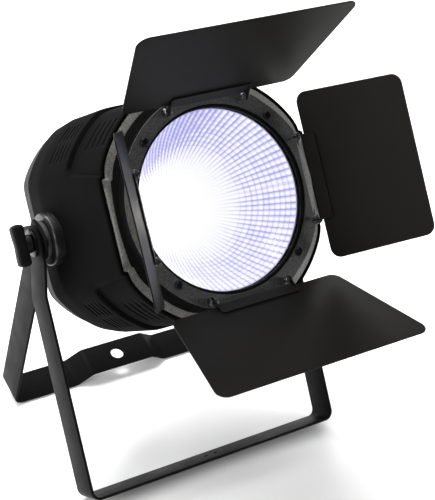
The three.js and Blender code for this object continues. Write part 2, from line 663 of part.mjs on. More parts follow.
/** A shape with a round end about the pin and a foot that runs to y = foot. */
function earShape(radius, foot) {
  const shape = new THREE.Shape();
  shape.moveTo(-radius, foot);
  shape.lineTo(radius, foot);
  shape.lineTo(radius, 0);
  shape.absarc(0, 0, radius, 0, Math.PI, false);
  shape.closePath();
  shape.holes.push(circleHole(0, 0, PIN_R + GAP));
  return shape;
}

function frameEar({ turn, offset, spread }, end) {
  const inner = spread - EAR_INSET;
  const [from, to] = end > 0 ? [inner, inner + EAR_T] : [-inner - EAR_T, -inner];
  return flipped(tabAcrossAxis(earShape(EAR_R, -PIN_RISE - 0.5), from, to))
    .translate(offset, pinY, 0).rotateY(rad(turn));
}

/** A hinge screw along the axis: head inside, shank through both ears, nut outside. */
function hingeScrew({ turn, offset, spread }, end) {
  const head = spread - EAR_INSET - GAP;
  const nut = leafEarOuter(spread) + GAP;
  const profile = [[0, head - PIN_HEAD_H], [PIN_HEAD_R, head - PIN_HEAD_H], [PIN_HEAD_R, head], [PIN_R, head],
    [PIN_R, nut], [NUT_R, nut], [NUT_R, nut + NUT_H], [0, nut + NUT_H]];
  const screw = turned(profile, 8).rotateX(end > 0 ? Math.PI / 2 : -Math.PI / 2);
  return screw.translate(offset, pinY, 0).rotateY(rad(turn));
}

/** A leaf's own group: origin on the hinge axis, x along the leaf, -Y its inner side, Z its width. */
function leafGroup({ turn, offset, leaf }) {
  const swing = new THREE.Group();
  swing.rotation.y = rad(turn);
  const hinge = new THREE.Group();
  hinge.position.set(offset, pinY, 0);
  hinge.rotation.z = -rad(leaf.angle);
  swing.add(hinge);
  head.add(swing);
  return hinge;
}

function leafPlate({ leaf }) {
  const { length, inner, outer } = leaf;
  const shape = roundedShape([[LEAF_START, -inner, LEAF_CORNER], [LEAF_START + length, -outer, LEAF_CORNER],
    [LEAF_START + length, outer, LEAF_CORNER], [LEAF_START, inner, LEAF_CORNER]]);
  return plateY(shape, LEAF_SEAT + GAP, LEAF_SEAT + GAP + LEAF_T);
}

/** The hinge strip: a flat strip on the leaf's inner side, with an ear round each hinge screw. */
function hingeStrip({ spread }) {
  const reach = leafEarOuter(spread);
  const strip = box(STRIP_START, STRIP_STOP, LEAF_SEAT - LEAF_T, LEAF_SEAT, -reach, reach);
  const web = new THREE.Shape();
  web.moveTo(STRIP_START, -LEAF_SEAT);
  web.lineTo(STRIP_STOP - 3, -LEAF_SEAT);
  web.lineTo(STRIP_STOP - 3, -LEAF_SEAT + 1);
  web.absarc(0, 0, LEAF_EAR_R, rad(50), rad(325), false);
  web.closePath();
  web.holes.push(circleHole(0, 0, PIN_R + GAP));
  const inner = leafEarInner(spread);
  const ears = [[inner, inner + LEAF_T], [-inner - LEAF_T, -inner]]
    .map(([from, to]) => flipped(tabAcrossAxis(web, from, to)));
  return surface(join(strip, ...ears));
}

piece(head, 'door_frame', doorFrame(), 'powder');
for (const hinge of hinges) {
  const group = leafGroup(hinge);
  piece(group, `${hinge.name}_leaf`, leafPlate(hinge), 'leaf');
  piece(group, `${hinge.name}_hinge_strip`, hingeStrip(hinge), 'powder');
  [1, -1].forEach((end, i) => {
    piece(head, `${hinge.name}_hinge_screw_${i + 1}`, hingeScrew(hinge, end), 'steel');
  });
}

// ---- stand --------------------------------------------------------------------------------------------
const rearInner = BOSS_FACE + GAP + PAD_T + GAP;
const rearOuter = rearInner + STRIP_T;
const frontWasherIn = rearOuter + GAP;
const frontInner = frontWasherIn + WASHER_T + GAP;
const frontOuter = frontInner + STRIP_T;
const knobWasherIn = frontOuter + GAP;
const knobFace = knobWasherIn + WASHER_T + GAP;
const past = frontOuter + FRONT_JOG + PAST; // a cutter along X runs this far out

/** A bent strip: its outline in XZ is extruded across STRIP_W, its upper ends are rounded and pierced. */
function bentStrip(outline, ...cutters) {
  const strip = solid(plateY(roundedShape(outline), -STRIP_W / 2, STRIP_W / 2, 4));
  const trims = [-1, 1].map((side) => {
    const [edge, corner] = [side * (STRIP_W / 2), side * (STRIP_W / 2 - STRIP_CORNER)];
    const shape = new THREE.Shape();
    shape.moveTo(edge + side, STRIP_END + 1);
    shape.lineTo(corner, STRIP_END + 1);
    shape.lineTo(corner, STRIP_END);
    shape.quadraticCurveTo(edge, STRIP_END, edge, STRIP_END - STRIP_CORNER);
    shape.lineTo(edge + side, STRIP_END - STRIP_CORNER);
    shape.closePath();
    return new THREE.ExtrudeGeometry(shape, { depth: 2 * past, bevelEnabled: false, curveSegments: 3 })
      .rotateX(Math.PI / 2).rotateZ(Math.PI / 2).translate(-past, 0, 0);
  });
  const pierced = [...trims, barX(STUD_R + GAP, -past, past), ...cutters];
  return surface(pierced.reduce((body, tool) => body.subtract(solid(tool)), strip));
}

/** A bar's hole: an upright cutter through the strip whose middle is at height z. */
function barHole(radius, x, z, sides) {
  return new THREE.CylinderGeometry(radius, radius, 2 * (STRIP_T + PAST), sides).rotateX(Math.PI / 2)
    .translate(x, 0, z);
}

function frontBracket() {
  const [a, b, t, l] = [frontOuter, frontOuter + FRONT_JOG, STRIP_T, FRONT_LENGTH];
  const outer = (s) => [[s * a, STRIP_END, 0], [s * a, -JOG_TOP, SOFT_BEND_R],
    [s * b, -JOG_BOTTOM, SOFT_BEND_R], [s * b, -l, BEND_R]];
  const inner = (s) => [[s * (b - t), t - l, BEND_R - t], [s * (b - t), -JOG_BOTTOM, SOFT_BEND_R],
    [s * (a - t), -JOG_TOP, SOFT_BEND_R], [s * (a - t), STRIP_END, 0]];
  const holes = [-1, 1].map((s) => barHole(BAR_HOLE_R, s * BAR_HOLE_X, t / 2 - l, 12));
  return bentStrip([...outer(-1), ...outer(1).reverse(), ...inner(1).reverse(), ...inner(-1)], ...holes);
}

const rearLength = (pivotHeight - (STRIP_W / 2) * Math.sin(rad(REAR_LEAN))) / Math.cos(rad(REAR_LEAN));

function rearBracket() {
  const [b, t, l] = [rearOuter, STRIP_T, rearLength];
  const [near, far] = [REAR_RAISE_HALF, REAR_RAISE_HALF + RAISE_RUN];
  const raised = REAR_RAISE - l;
  const outer = (s) => [[s * b, STRIP_END, 0], [s * b, -l, BEND_R], [s * far, -l, RAISE_BEND_R],
    [s * near, raised, RAISE_BEND_R]];
  const inner = (s) => [[s * near, raised + t, RAISE_BEND_R], [s * far, t - l, RAISE_BEND_R],
    [s * (b - t), t - l, BEND_R - t], [s * (b - t), STRIP_END, 0]];
  const hole = barHole(CLAMP_HOLE_R, 0, raised + t / 2, 24);
  return bentStrip([...outer(-1), ...outer(1).reverse(), ...inner(1).reverse(), ...inner(-1)], hole);
}

/** The clamp knob: a T-shaped wing on a hub, moulded over a stud. Drawn for the right side. */
function clampKnob() {
  const hubEnd = knobFace + KNOB_HUB_L;
  const wing = roundedShape([[-KNOB_WING, hubEnd, 2], [KNOB_WING, hubEnd, 2],
    [KNOB_WING - 1, hubEnd + KNOB_WING_T, 3.5], [-KNOB_WING + 1, hubEnd + KNOB_WING_T, 3.5]]);
  const alongX = new THREE.Matrix4().set(0, 1, 0, 0, 0, 0, 1, -KNOB_WING_W / 2, 1, 0, 0, 0, 0, 0, 0, 1);
  const handle = new THREE.ExtrudeGeometry(wing, { depth: KNOB_WING_W, bevelEnabled: false, curveSegments: 5 })
    .applyMatrix4(alongX);
  return surface(join(barX(KNOB_HUB_R, knobFace, hubEnd + 1, 0, 0, 24), handle,
    barX(STUD_R, BOSS_FACE - INSERT_DEPTH, knobFace + 2)));
}

/** A ring round the stud, from x0 outward. */
function ring(radius, x0, thickness) {
  const x1 = x0 + thickness;
  return surface(cut(barX(radius, x0, x1, 0, 0, 20), barX(STUD_R + GAP, x0 - PAST, x1 + PAST)));
}

const stand = new THREE.Group();
stand.position.z = pivotHeight;
light.add(stand);
const front = piece(stand, 'front_bracket', frontBracket(), 'powder');
front.rotation.x = -rad(FRONT_LEAN);
const rear = piece(stand, 'rear_bracket', rearBracket(), 'powder');
rear.rotation.x = rad(REAR_LEAN);
for (const [name, side] of [['right', 0], ['left', Math.PI]]) {
  const stack = new THREE.Group();
  stack.rotation.z = side;
  head.add(stack);
  piece(stack, `${name}_insert`, ring(INSERT_R, BOSS_FACE - INSERT_DEPTH, INSERT_DEPTH), 'brass');
  piece(stack, `${name}_friction_pad`, ring(PAD_R, BOSS_FACE + GAP, PAD_T), 'rubber');
  piece(stack, `${name}_washer`, ring(WASHER_R, frontWasherIn, WASHER_T), 'steel');
  piece(stack, `${name}_knob_washer`, ring(KNOB_WASHER_R, knobWasherIn, WASHER_T), 'steel');
  piece(stack, `${name}_knob`, clampKnob(), 'housing');
}

// ---- the origin: on the floor, under the middle of the overall box ------------------------------------
light.updateMatrixWorld(true);
const overall = new THREE.Box3().setFromObject(light, true);
const middle = overall.getCenter(new THREE.Vector3());
light.position.set(-middle.x, -middle.y, -overall.min.z);

export default light;
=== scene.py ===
import json
import math

import bmesh
import bpy
import numpy as np
from mathutils import Matrix


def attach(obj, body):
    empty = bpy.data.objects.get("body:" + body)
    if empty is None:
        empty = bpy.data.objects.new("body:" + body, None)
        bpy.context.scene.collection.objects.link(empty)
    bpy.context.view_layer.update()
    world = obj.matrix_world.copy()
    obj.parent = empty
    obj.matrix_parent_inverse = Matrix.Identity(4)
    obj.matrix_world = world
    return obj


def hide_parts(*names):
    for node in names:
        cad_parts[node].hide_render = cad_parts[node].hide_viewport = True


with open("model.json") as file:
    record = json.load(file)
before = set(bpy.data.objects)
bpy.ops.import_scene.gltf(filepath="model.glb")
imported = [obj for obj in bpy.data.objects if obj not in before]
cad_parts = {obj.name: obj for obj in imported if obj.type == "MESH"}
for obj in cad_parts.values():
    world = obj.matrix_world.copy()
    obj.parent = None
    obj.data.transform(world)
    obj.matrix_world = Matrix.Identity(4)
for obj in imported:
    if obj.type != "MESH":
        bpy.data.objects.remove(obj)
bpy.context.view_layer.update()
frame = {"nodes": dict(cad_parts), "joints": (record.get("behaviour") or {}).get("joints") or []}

# ---- The studio --------------------------------------------------------------------------------------------
# A pale sheet of paper for a floor, seven soft boxes, and a camera above the light and to its left, which
# looks down at the lit lamp from a little over a metre away.
CAMERA_PLACE = (-0.5622, -0.8852, 0.7904)
CAMERA_AZIMUTH = -33.18
CAMERA_ELEVATION = 29.10
CAMERA_ROLL = 2.44
CAMERA_FOCAL = 102.0

camera = bpy.data.objects.new("camera", bpy.data.cameras.new("camera"))
camera.data.sensor_fit = "VERTICAL"
camera.data.sensor_height = 36.0
camera.data.lens = CAMERA_FOCAL
camera.matrix_world = (
    Matrix.Translation(CAMERA_PLACE)
    @ Matrix.Rotation(math.radians(CAMERA_AZIMUTH), 4, "Z")
    @ Matrix.Rotation(math.radians(90 - CAMERA_ELEVATION), 4, "X")
    @ Matrix.Rotation(math.radians(CAMERA_ROLL), 4, "Z")
)
bpy.context.scene.collection.objects.link(camera)
bpy.context.scene.camera = camera
bpy.context.scene.view_settings.view_transform = "Standard"

world = bpy.data.worlds.new("studio")
world.use_nodes = True
world.node_tree.nodes["Background"].inputs["Color"].default_value = (1.0, 1.0, 1.0, 1.0)
world.node_tree.nodes["Background"].inputs["Strength"].default_value = 0.40
bpy.context.scene.world = world


def soft_box(name, place, aim, size, power):
    """A square area light at `place`, turned to face `aim`."""
    lamp = bpy.data.objects.new(name, bpy.data.lights.new(name, "AREA"))
    lamp.data.size = size
    lamp.data.energy = power
    away = (np.array(place) - np.array(aim)) / np.linalg.norm(np.array(place) - np.array(aim))
    side = np.cross((0.0, 0.0, 1.0), away)
    side = side / np.linalg.norm(side)
    turn = np.eye(4)
    turn[:3, :3] = np.column_stack([side, np.cross(away, side), away])
    lamp.matrix_world = Matrix.Translation(place) @ Matrix(turn.tolist())
    bpy.context.scene.collection.objects.link(lamp)


soft_box("overhead_box", (-0.15, 0.2, 1.7), (0, 0, 0.2), 1.6, 30)
soft_box("top_back_box", (-0.15, 1.0, 1.5), (0, 0, 0.25), 0.7, 24)
soft_box("left_box", (-1.5, -0.45, 0.75), (0, 0, 0.25), 0.5, 12)
soft_box("front_box", (1.05, -1.05, 0.42), (0, -0.05, 0.25), 0.45, 5)
soft_box("back_left_box", (-0.75, 1.15, 0.95), (0, 0.1, 0.3), 0.6, 9)
soft_box("back_right_box", (0.9, 1.3, 0.8), (0, 0.1, 0.2), 0.6, 8)
soft_box("right_box", (1.5, -0.6, 0.9), (0, 0, 0.2), 0.8, 4)

floor_mesh = bpy.data.meshes.new("floor")
floor_mesh.from_pydata([(-6, -6, 0), (6, -6, 0), (6, 6, 0), (-6, 6, 0)], [], [(0, 1, 2, 3)])
floor = bpy.data.objects.new("floor", floor_mesh)
floor.location.z = -0.0005
paper = bpy.data.materials.new("pale_paper")
paper.use_nodes = True
paper.node_tree.nodes["Principled BSDF"].inputs["Base Color"].default_value = (0.95, 0.95, 0.95, 1.0)
paper.node_tree.nodes["Principled BSDF"].inputs["Roughness"].default_value = 0.9
paper.node_tree.nodes["Principled BSDF"].inputs["Specular IOR Level"].default_value = 0.1
floor.data.materials.append(paper)
bpy.context.scene.collection.objects.link(floor)

# ---- Main housing ------------------------------------------------------------------------------------------
# The moulded body: a thin shell of fine-textured black plastic, round with four flats, lowered in front above
# and below its two cheeks. It is moulded in one piece with its vent slots and a boss at each pivot.
MM = 0.001
GAP = 0.3
LENS_R = 75.0
FRONT_TO_PIVOT = 126.0
WALL = 3.0
frame_front = -FRONT_TO_PIVOT
bezel_flange = frame_front + 12.0
bezel_back = bezel_flange + WALL
recess_end = frame_front + 78.0
ridge = frame_front + 133.0
cover_joint = frame_front + 165.0
back_face = frame_front + 196.0
RECESS = 3.5
STEP_W = 2.2
FRONT_EASE = 0.005
STATIONS = [bezel_flange, ridge, back_face]
ROUND_R = [LENS_R + 30.5, LENS_R + 33, LENS_R + 28]
SIDE_FLAT = [LENS_R + 20.5, LENS_R + 23, LENS_R + 15]
TOP_FLAT = [LENS_R + 18.2, LENS_R + 18.2, LENS_R + 13]
CORNER_SHARPNESS = 70
BOSS_FACE = LENS_R + 34.0
BOSS_R = 23.0
INSERT_R = 7.0
VENT_W = 2.4
FRONT_VENTS = dict(first=22.0, pitch=10.5, count=4, spans=[(37.5, 51.4)])
REAR_VENTS = dict(first=85.0, pitch=7.3, count=5, spans=[(33.5, 41.7), (44.5, 52.7)])

joints = {joint["name"]: joint for joint in frame["joints"]}
PIVOT = np.array(joints["head_tilt"]["pos_m"])
RIGHT = np.array([1.0, 0.0, 0.0])
HEAD_UP = np.array(joints["right_leaf_hinge"]["axis"])
HEAD_UP = HEAD_UP / np.linalg.norm(HEAD_UP)
HEAD_BACK = np.cross(HEAD_UP, RIGHT)


def on_head(points):
    """Points of the head's frame, in millimetres (x right, y back from the pivot, z up), in the row frame."""
    return PIVOT + np.asarray(points, float) * MM @ np.array([RIGHT, HEAD_BACK, HEAD_UP])


def body_radius(theta, y):
    """The body's radius round its axis: a circle cut by side and top flats, as a soft minimum of the three.

    Each of the three sizes runs straight from the flange to the ridge and from the ridge to the back face.
    """
    circle, side, top = (np.interp(y, STATIONS, sizes) for sizes in (ROUND_R, SIDE_FLAT, TOP_FLAT))
    side_term = (np.abs(np.cos(theta)) / side) ** CORNER_SHARPNESS
    top_term = (np.abs(np.sin(theta)) / top) ** CORNER_SHARPNESS
    return (circle ** -CORNER_SHARPNESS + (side_term + top_term)) ** (-1 / CORNER_SHARPNESS)


def cheek_height(y):
    """Half the cheek's height at station y: it grows towards the back, and flares where the recess ends."""
    return np.interp(y, [bezel_flange, recess_end - 6, recess_end], [37.0, 45.0, 50.0])


def filled(marks, step):
    """The marks in order, with even steps of at most `step` put between them."""
    marks = sorted(marks)
    runs = [np.linspace(a, b, int(math.ceil((b - a) / step)) + 1)[:-1] for a, b in zip(marks, marks[1:])]
    return np.append(np.concatenate(runs), marks[-1])


def body_angles(y):
    """The grid's angles at station y, once round: lines follow the cheek's edge and the ends of the vents.

    One quarter's angles are worked out and then mirrored into the other three.
    """
    side = np.interp(y, STATIONS, SIDE_FLAT)
    edge = np.degrees(np.arctan2(cheek_height(y), side))
    step_foot = np.degrees(np.arctan2(cheek_height(y) + STEP_W, side))
    marks = [(0, edge, 9), (edge, step_foot, 3), (step_foot, 33.5, 4), (33.5, 37.5, 2), (37.5, 41.7, 2),
             (41.7, 44.5, 2), (44.5, 51.4, 3), (51.4, 52.7, 1), (52.7, 90, 15)]
    quarter = np.concatenate([np.linspace(a, b, n, endpoint=False) for a, b, n in marks] + [[90.0]])
    turn = [quarter, 180 - quarter[-2::-1], 180 + quarter[1:], 360 - quarter[-2:0:-1]]
    return np.radians(np.concatenate(turn))


def ring(radius, theta, y):
    """Points round the axis at station y, at the angles `theta`; the radius is one number or one for each."""
    radius = np.broadcast_to(radius, theta.shape)
    return np.stack([radius * np.cos(theta), np.full_like(theta, y), radius * np.sin(theta)], axis=-1)


def body_ring(y, inset=0.0):
    """One ring of the body's outer face at station y, with the front zones lowered beside the cheeks."""
    theta = body_angles(y)
    plain = body_radius(theta, y)
    height = np.abs(plain * np.sin(theta))
    beside = np.clip((height - cheek_height(y)) / STEP_W, 0, 1)
    ahead = np.clip((recess_end - y) / 1.6, 0, 1)
    return ring(plain - RECESS * beside * ahead - inset, theta, y)


def skin(name, rings, joined=False, capped=True, holes=None):
    """A mesh over a grid of rings, each ring closed on itself: quads from each ring to the next.

    joined ties the last ring to the first, capped closes the two ends with flat faces, and holes is a mask
    of the quads to leave open.
    """
    rings = np.asarray(rings, float)
    count, around = rings.shape[:2]
    i = np.arange(count if joined else count - 1)[:, None]
    j = np.arange(around)[None, :]
    here, following, beside = i * around, (i + 1) % count * around, (j + 1) % around
    quads = np.stack([here + j, here + beside, following + beside, following + j], -1)
    quads = quads[~holes] if holes is not None else quads.reshape(-1, 4)
    faces = quads.reshape(-1, 4).tolist()
    if capped and not joined:
        faces.append(list(range(around))[::-1])
        faces.append(list(range((count - 1) * around, count * around)))
    mesh = bpy.data.meshes.new(name)
    mesh.from_pydata(rings.reshape(-1, 3).tolist(), [], faces)
    mesh.validate()
    return mesh


def outward(mesh):
    """Turns the faces of a closed mesh outward."""
    work = bmesh.new()
    work.from_mesh(mesh)
    bmesh.ops.recalc_face_normals(work, faces=work.faces)
    work.to_mesh(mesh)
    work.free()
    return mesh


def together(name, *meshes):
    """Several meshes made into one."""
    work = bmesh.new()
    for mesh in meshes:
        work.from_mesh(mesh)
        bpy.data.meshes.remove(mesh)
    mesh = bpy.data.meshes.new(name)
    work.to_mesh(mesh)
    work.free()
    return mesh


def piece(name, mesh, material, body, slot, *nodes, bevel=0.0, sharp=35):
    """A finished piece: its mesh in the row frame, its material, its body and the CAD nodes it stands for.

    bevel rounds its edges by that many millimetres; without one, edges steeper than `sharp` degrees stay
    crisp.
    """
    made = bpy.data.objects.new(name, mesh)
    bpy.context.scene.collection.objects.link(made)
    mesh.materials.append(material)
    mesh.polygons.foreach_set("use_smooth", np.ones(len(mesh.polygons), bool))
    if bevel:
        rounding = made.modifiers.new("rounded_edges", "BEVEL")
        rounding.width = bevel * MM
        rounding.segments = 2
        rounding.limit_method = "ANGLE"
        rounding.angle_limit = math.radians(28)
        rounding.harden_normals = True
    else:
        mesh.set_sharp_from_angle(angle=math.radians(sharp))
    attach(made, body)
    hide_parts(*nodes)
    return made


def lathe(name, profile, sides=48, place=on_head):
    """A solid turned about Y: [radius, y] points carried once round the axis, then put in place.

    A profile that ends on the axis at both ends is closed there by small flat faces.
    """
    profile = np.array(profile, float)
    theta = np.linspace(0, 2 * np.pi, sides, endpoint=False)
    radius = np.maximum(profile[:, 0], 0.02)[:, None]
    rings = np.stack([radius * np.cos(theta), np.broadcast_to(profile[:, 1:], (len(profile), sides)),
                      radius * np.sin(theta)], axis=-1)
    closed = profile[0, 0] > 0.02
    return outward(skin(name, place(rings), joined=closed))


def eased(profile, radius, steps=4):
    """A profile with each corner replaced by a quadratic curve between points `radius` away from it."""
    profile = np.array(profile, float)
    share = np.linspace(0, 1, steps)[:, None]
    made = [profile[:1]]
    for before, corner, after in zip(profile, profile[1:], profile[2:]):
        room = 0.45 * min(np.linalg.norm(before - corner), np.linalg.norm(after - corner))
        start = corner + (before - corner) / np.linalg.norm(before - corner) * min(radius, room)
        end = corner + (after - corner) / np.linalg.norm(after - corner) * min(radius, room)
        made.append((1 - share) ** 2 * start + 2 * share * (1 - share) * corner + share ** 2 * end)
    return np.concatenate(made + [profile[-1:]])


def finish(name, color, roughness, metallic=0.0, specular=0.5):
    """A new Principled material with its constants on the shader: the material and its shader node."""
    material = bpy.data.materials.new(name)
    material.use_nodes = True
    shader = material.node_tree.nodes["Principled BSDF"]
    shader.inputs["Base Color"].default_value = (*color, 1.0)
    shader.inputs["Roughness"].default_value = roughness
    shader.inputs["Metallic"].default_value = metallic
    shader.inputs["Specular IOR Level"].default_value = specular
    return material, shader


def grain(material, scale, detail=3.0, stretch=(1, 1, 1)):
    """A noise on Object coordinates, `scale` grains to the metre, stretched by a Mapping node; 0 to 1."""
    nodes, links = material.node_tree.nodes, material.node_tree.links
    mapping = nodes.new("ShaderNodeMapping")
    mapping.inputs["Scale"].default_value = stretch
    noise = nodes.new("ShaderNodeTexNoise")
    noise.inputs["Scale"].default_value = scale
    noise.inputs["Detail"].default_value = detail
    links.new(nodes.new("ShaderNodeTexCoord").outputs["Object"], mapping.inputs["Vector"])
    links.new(mapping.outputs["Vector"], noise.inputs["Vector"])
    return noise.outputs["Fac"]


def spread(material, value, low, high, to, start=0.3, end=0.7):
    """Maps a value from start..end onto low..high, a number or a colour, and feeds the socket `to`."""
    nodes, links = material.node_tree.nodes, material.node_tree.links
    if isinstance(low, tuple):
        ramp = nodes.new("ShaderNodeValToRGB")
        ramp.color_ramp.elements[0].position = start
        ramp.color_ramp.elements[0].color = (*low, 1.0)
        ramp.color_ramp.elements[1].position = end
        ramp.color_ramp.elements[1].color = (*high, 1.0)
        links.new(value, ramp.inputs["Fac"])
        links.new(ramp.outputs["Color"], to)
    else:
        ranged = nodes.new("ShaderNodeMapRange")
        ranged.inputs["From Min"].default_value = start
        ranged.inputs["From Max"].default_value = end
        ranged.inputs["To Min"].default_value = low
        ranged.inputs["To Max"].default_value = high
        links.new(value, ranged.inputs["Value"])
        links.new(ranged.outputs["Result"], to)


def tint(material, shader, value, color, dark, pale, start=0.3, end=0.7):
    """Spreads a value over the base colour, from `dark` times the colour to `pale` times it."""
    low = tuple(dark * c for c in color)
    high = tuple(min(1, pale * c) for c in color)
    spread(material, value, low, high, shader.inputs["Base Color"], start, end)


def relief(material, shader, value, depth, strength=1.0):
    """Bump of `depth` metres from a value, into the shader's normal; a second call adds to the first."""
    nodes, links = material.node_tree.nodes, material.node_tree.links
    bump = nodes.new("ShaderNodeBump")
    bump.inputs["Distance"].default_value = depth
    bump.inputs["Strength"].default_value = strength
    links.new(value, bump.inputs["Height"])
    if shader.inputs["Normal"].is_linked:
        links.new(shader.inputs["Normal"].links[0].from_socket, bump.inputs["Normal"])
    links.new(bump.outputs["Normal"], shader.inputs["Normal"])


def moulded_plastic(name, color, rough):
    """Black moulded plastic: a fine spark-eroded texture, faint flow marks and slightly uneven gloss."""
    material, shader = finish(name, color, rough, specular=0.035)
    texture = grain(material, 2600, 2)
    flow = grain(material, 22, 4)
    tint(material, shader, flow, color, 0.8, 1.25)
    spread(material, flow, rough - 0.05, rough + 0.06, shader.inputs["Roughness"])
    relief(material, shader, texture, 0.00006, 0.5)
    return material


shadow_black = moulded_plastic("shadow_black", (0.0012, 0.0012, 0.0012), 0.8)
housing_black = moulded_plastic("housing_black", (0.0078, 0.0078, 0.0081), 0.44)


def plain_finish(name, color, rough, metallic=0.0, scale=400, vary=0.12, depth=0.00003,
                 stretch=(1, 1, 1)):
    """A material with a fine grain in its colour, gloss and surface."""
    material, shader = finish(name, color, rough, metallic)
    fine = grain(material, scale, 3, stretch)
    tint(material, shader, fine, color, 1 - vary, 1 + vary)
    spread(material, fine, rough - 0.05, rough + 0.08, shader.inputs["Roughness"])
    relief(material, shader, fine, depth, 0.5)
    return material


def vent_stations():
    """The two edges of every vent slot along the body, as (start, end, spans)."""
    rows = [(row["first"] + i * row["pitch"], row["spans"]) for row in (FRONT_VENTS, REAR_VENTS)
            for i in range(row["count"])]
    return [(frame_front + at - VENT_W / 2, frame_front + at + VENT_W / 2, spans) for at, spans in rows]


def housing_shell():
    """The shell's outer face, a grid of station by angle, open where a vent slot is."""
    edges = [edge for start, end, _ in vent_stations() for edge in (start, end)]
    marks = [bezel_back + GAP, bezel_back + GAP + 0.8, recess_end - 1.6, recess_end, recess_end + 1.5,
             ridge - 2, ridge + 2, cover_joint - 0.8, cover_joint, *edges]
    stations = filled(marks, 4.0)
    rings = np.array([body_ring(y) for y in stations])
    middle = (stations[:-1] + stations[1:]) / 2
    theta = body_angles(middle[0])
    around = np.degrees(np.arctan2(np.abs(np.sin(theta)), np.abs(np.cos(theta))))
    angle = (around + np.roll(around, -1)) / 2
    holes = np.zeros((len(middle), len(theta)), bool)
    for start, end, spans in vent_stations():
        inside = (middle > start) & (middle < end)
        for low, high in spans:
            holes |= inside[:, None] & ((angle > low) & (angle < high))[None, :]
    front_edge = stations < bezel_back + GAP + 0.5
    rings[:, :, 0::2] *= np.where(front_edge, 1 - FRONT_EASE, 1.0)[:, None, None]
    return skin("main_housing_shell", on_head(rings), capped=False, holes=holes)


def boss(side):
    """A pivot boss, turned about X: a ring with a flared foot where it grows out of the cheek."""
    def about_x(points):
        turned = np.stack([side * points[..., 1], points[..., 0], points[..., 2]], axis=-1)
        return on_head(turned)
    foot = LENS_R + 16.0
    wall = LENS_R + 21.6
    profile = [(INSERT_R + GAP, foot), (BOSS_R + 3, foot), (BOSS_R + 3, wall), (BOSS_R + 0.6, wall + 1.6),
               (BOSS_R, wall + 4), (BOSS_R, BOSS_FACE - 1.2), (BOSS_R - 1.2, BOSS_FACE),
               (INSERT_R + GAP, BOSS_FACE)]
    return lathe("boss", eased(profile, 1.0), 72, about_x)


main_housing = piece("housing_shell", housing_shell(), housing_black, "head", "housing_plastic",
                     "main_housing", sharp=50)
wall_thickness = main_housing.modifiers.new("wall", "SOLIDIFY")
wall_thickness.thickness = WALL * MM
wall_thickness.offset = -1.0
main_housing.data.materials.append(shadow_black)
wall_thickness.material_offset = 1
wall_thickness.material_offset_rim = 1
boss_grey = plain_finish("boss_grey", (0.034, 0.034, 0.035), 0.3, 0.85, 900, 0.1)
piece("pivot_bosses", together("pivot_bosses", boss(1), boss(-1)), boss_grey, "head", "housing_plastic",
      "main_housing")

# ---- Rear cover --------------------------------------------------------------------------------------------
# A second moulding that closes the body: it tapers to a flat back panel with rounded edges, and is cut out
# for the display, the buttons and the sockets. Its seam with the housing shows as a fine dark line.
PANEL_Z = LENS_R + 13.0
WINDOW = dict(z=PANEL_Z - 48.0, half_x=30.0, half_z=13.0)
BUTTON = dict(z=PANEL_Z - 76.0, radius=5.0, pitch=16.0)
SIGNAL = dict(x=22.0, z=26.0 - PANEL_Z, radius=11.0)
POWER = dict(x=45.0, z=58.0 - PANEL_Z, half_x=14.0, half_z=10.0)
FUSE = dict(z=58.0 - PANEL_Z, radius=5.0)
BUTTON_X = [step * BUTTON["pitch"] for step in (-1.5, -0.5, 0.5, 1.5)]


def four_arcs(steps):
    """Angles once round in four quarters of `steps` points, with the side in x and in z that each is on."""
    angle = np.concatenate([np.linspace(start, start + 90, steps) for start in (0, 90, 180, 270)]) * np.pi / 180
    quarter = np.repeat([0, 1, 2, 3], steps)
    return angle, np.array([1, -1, -1, 1])[quarter], np.array([1, 1, -1, -1])[quarter]


def block(name, low, high, corner=0.0):
    """A box between two corners, with its four edges along Y rounded by `corner`."""
    (x0, y0, z0), (x1, y1, z1) = low, high
    angle, side_x, side_z = four_arcs(6 if corner else 1)
    x = side_x * ((x1 - x0) / 2 - corner) + corner * np.cos(angle) + (x0 + x1) / 2
    z = side_z * ((z1 - z0) / 2 - corner) + corner * np.sin(angle) + (z0 + z1) / 2
    return outward(skin(name, on_head([np.stack([x, np.full_like(x, y), z], -1) for y in (y0, y1)])))


def rod(radius, start, end):
    """A plain cylinder's profile."""
    return [(0, start), (radius, start), (radius, end), (0, end)]


def disc(name, x, z, profile, sides=32):
    """A solid turned about an axis along Y through (x, z) of the head's frame."""
    return lathe(name, profile, sides, lambda points: on_head(points + np.array([x, 0.0, z])))


def carved(mesh, cutters, name):
    """The mesh with the cutters' volume taken out: an exact Boolean, applied."""
    base = bpy.data.objects.new("base", mesh)
    tool = bpy.data.objects.new("tool", together("tool", *cutters))
    for made in (base, tool):
        bpy.context.scene.collection.objects.link(made)
    cut = base.modifiers.new("cut", "BOOLEAN")
    cut.operation = "DIFFERENCE"
    cut.solver = "EXACT"
    cut.use_self = False
    cut.object = tool
    bpy.context.view_layer.update()
    result = bpy.data.meshes.new_from_object(base.evaluated_get(bpy.context.evaluated_depsgraph_get()))
    result.name = name
    bpy.data.objects.remove(base)
    bpy.data.objects.remove(tool)
    return result


def cover_ring(y, inset=0.0):
    """One ring of the cover at station y, drawn in by `inset`."""
    theta = np.linspace(0, 2 * np.pi, 160, endpoint=False)
    return ring(body_radius(theta, y) - inset, theta, y)


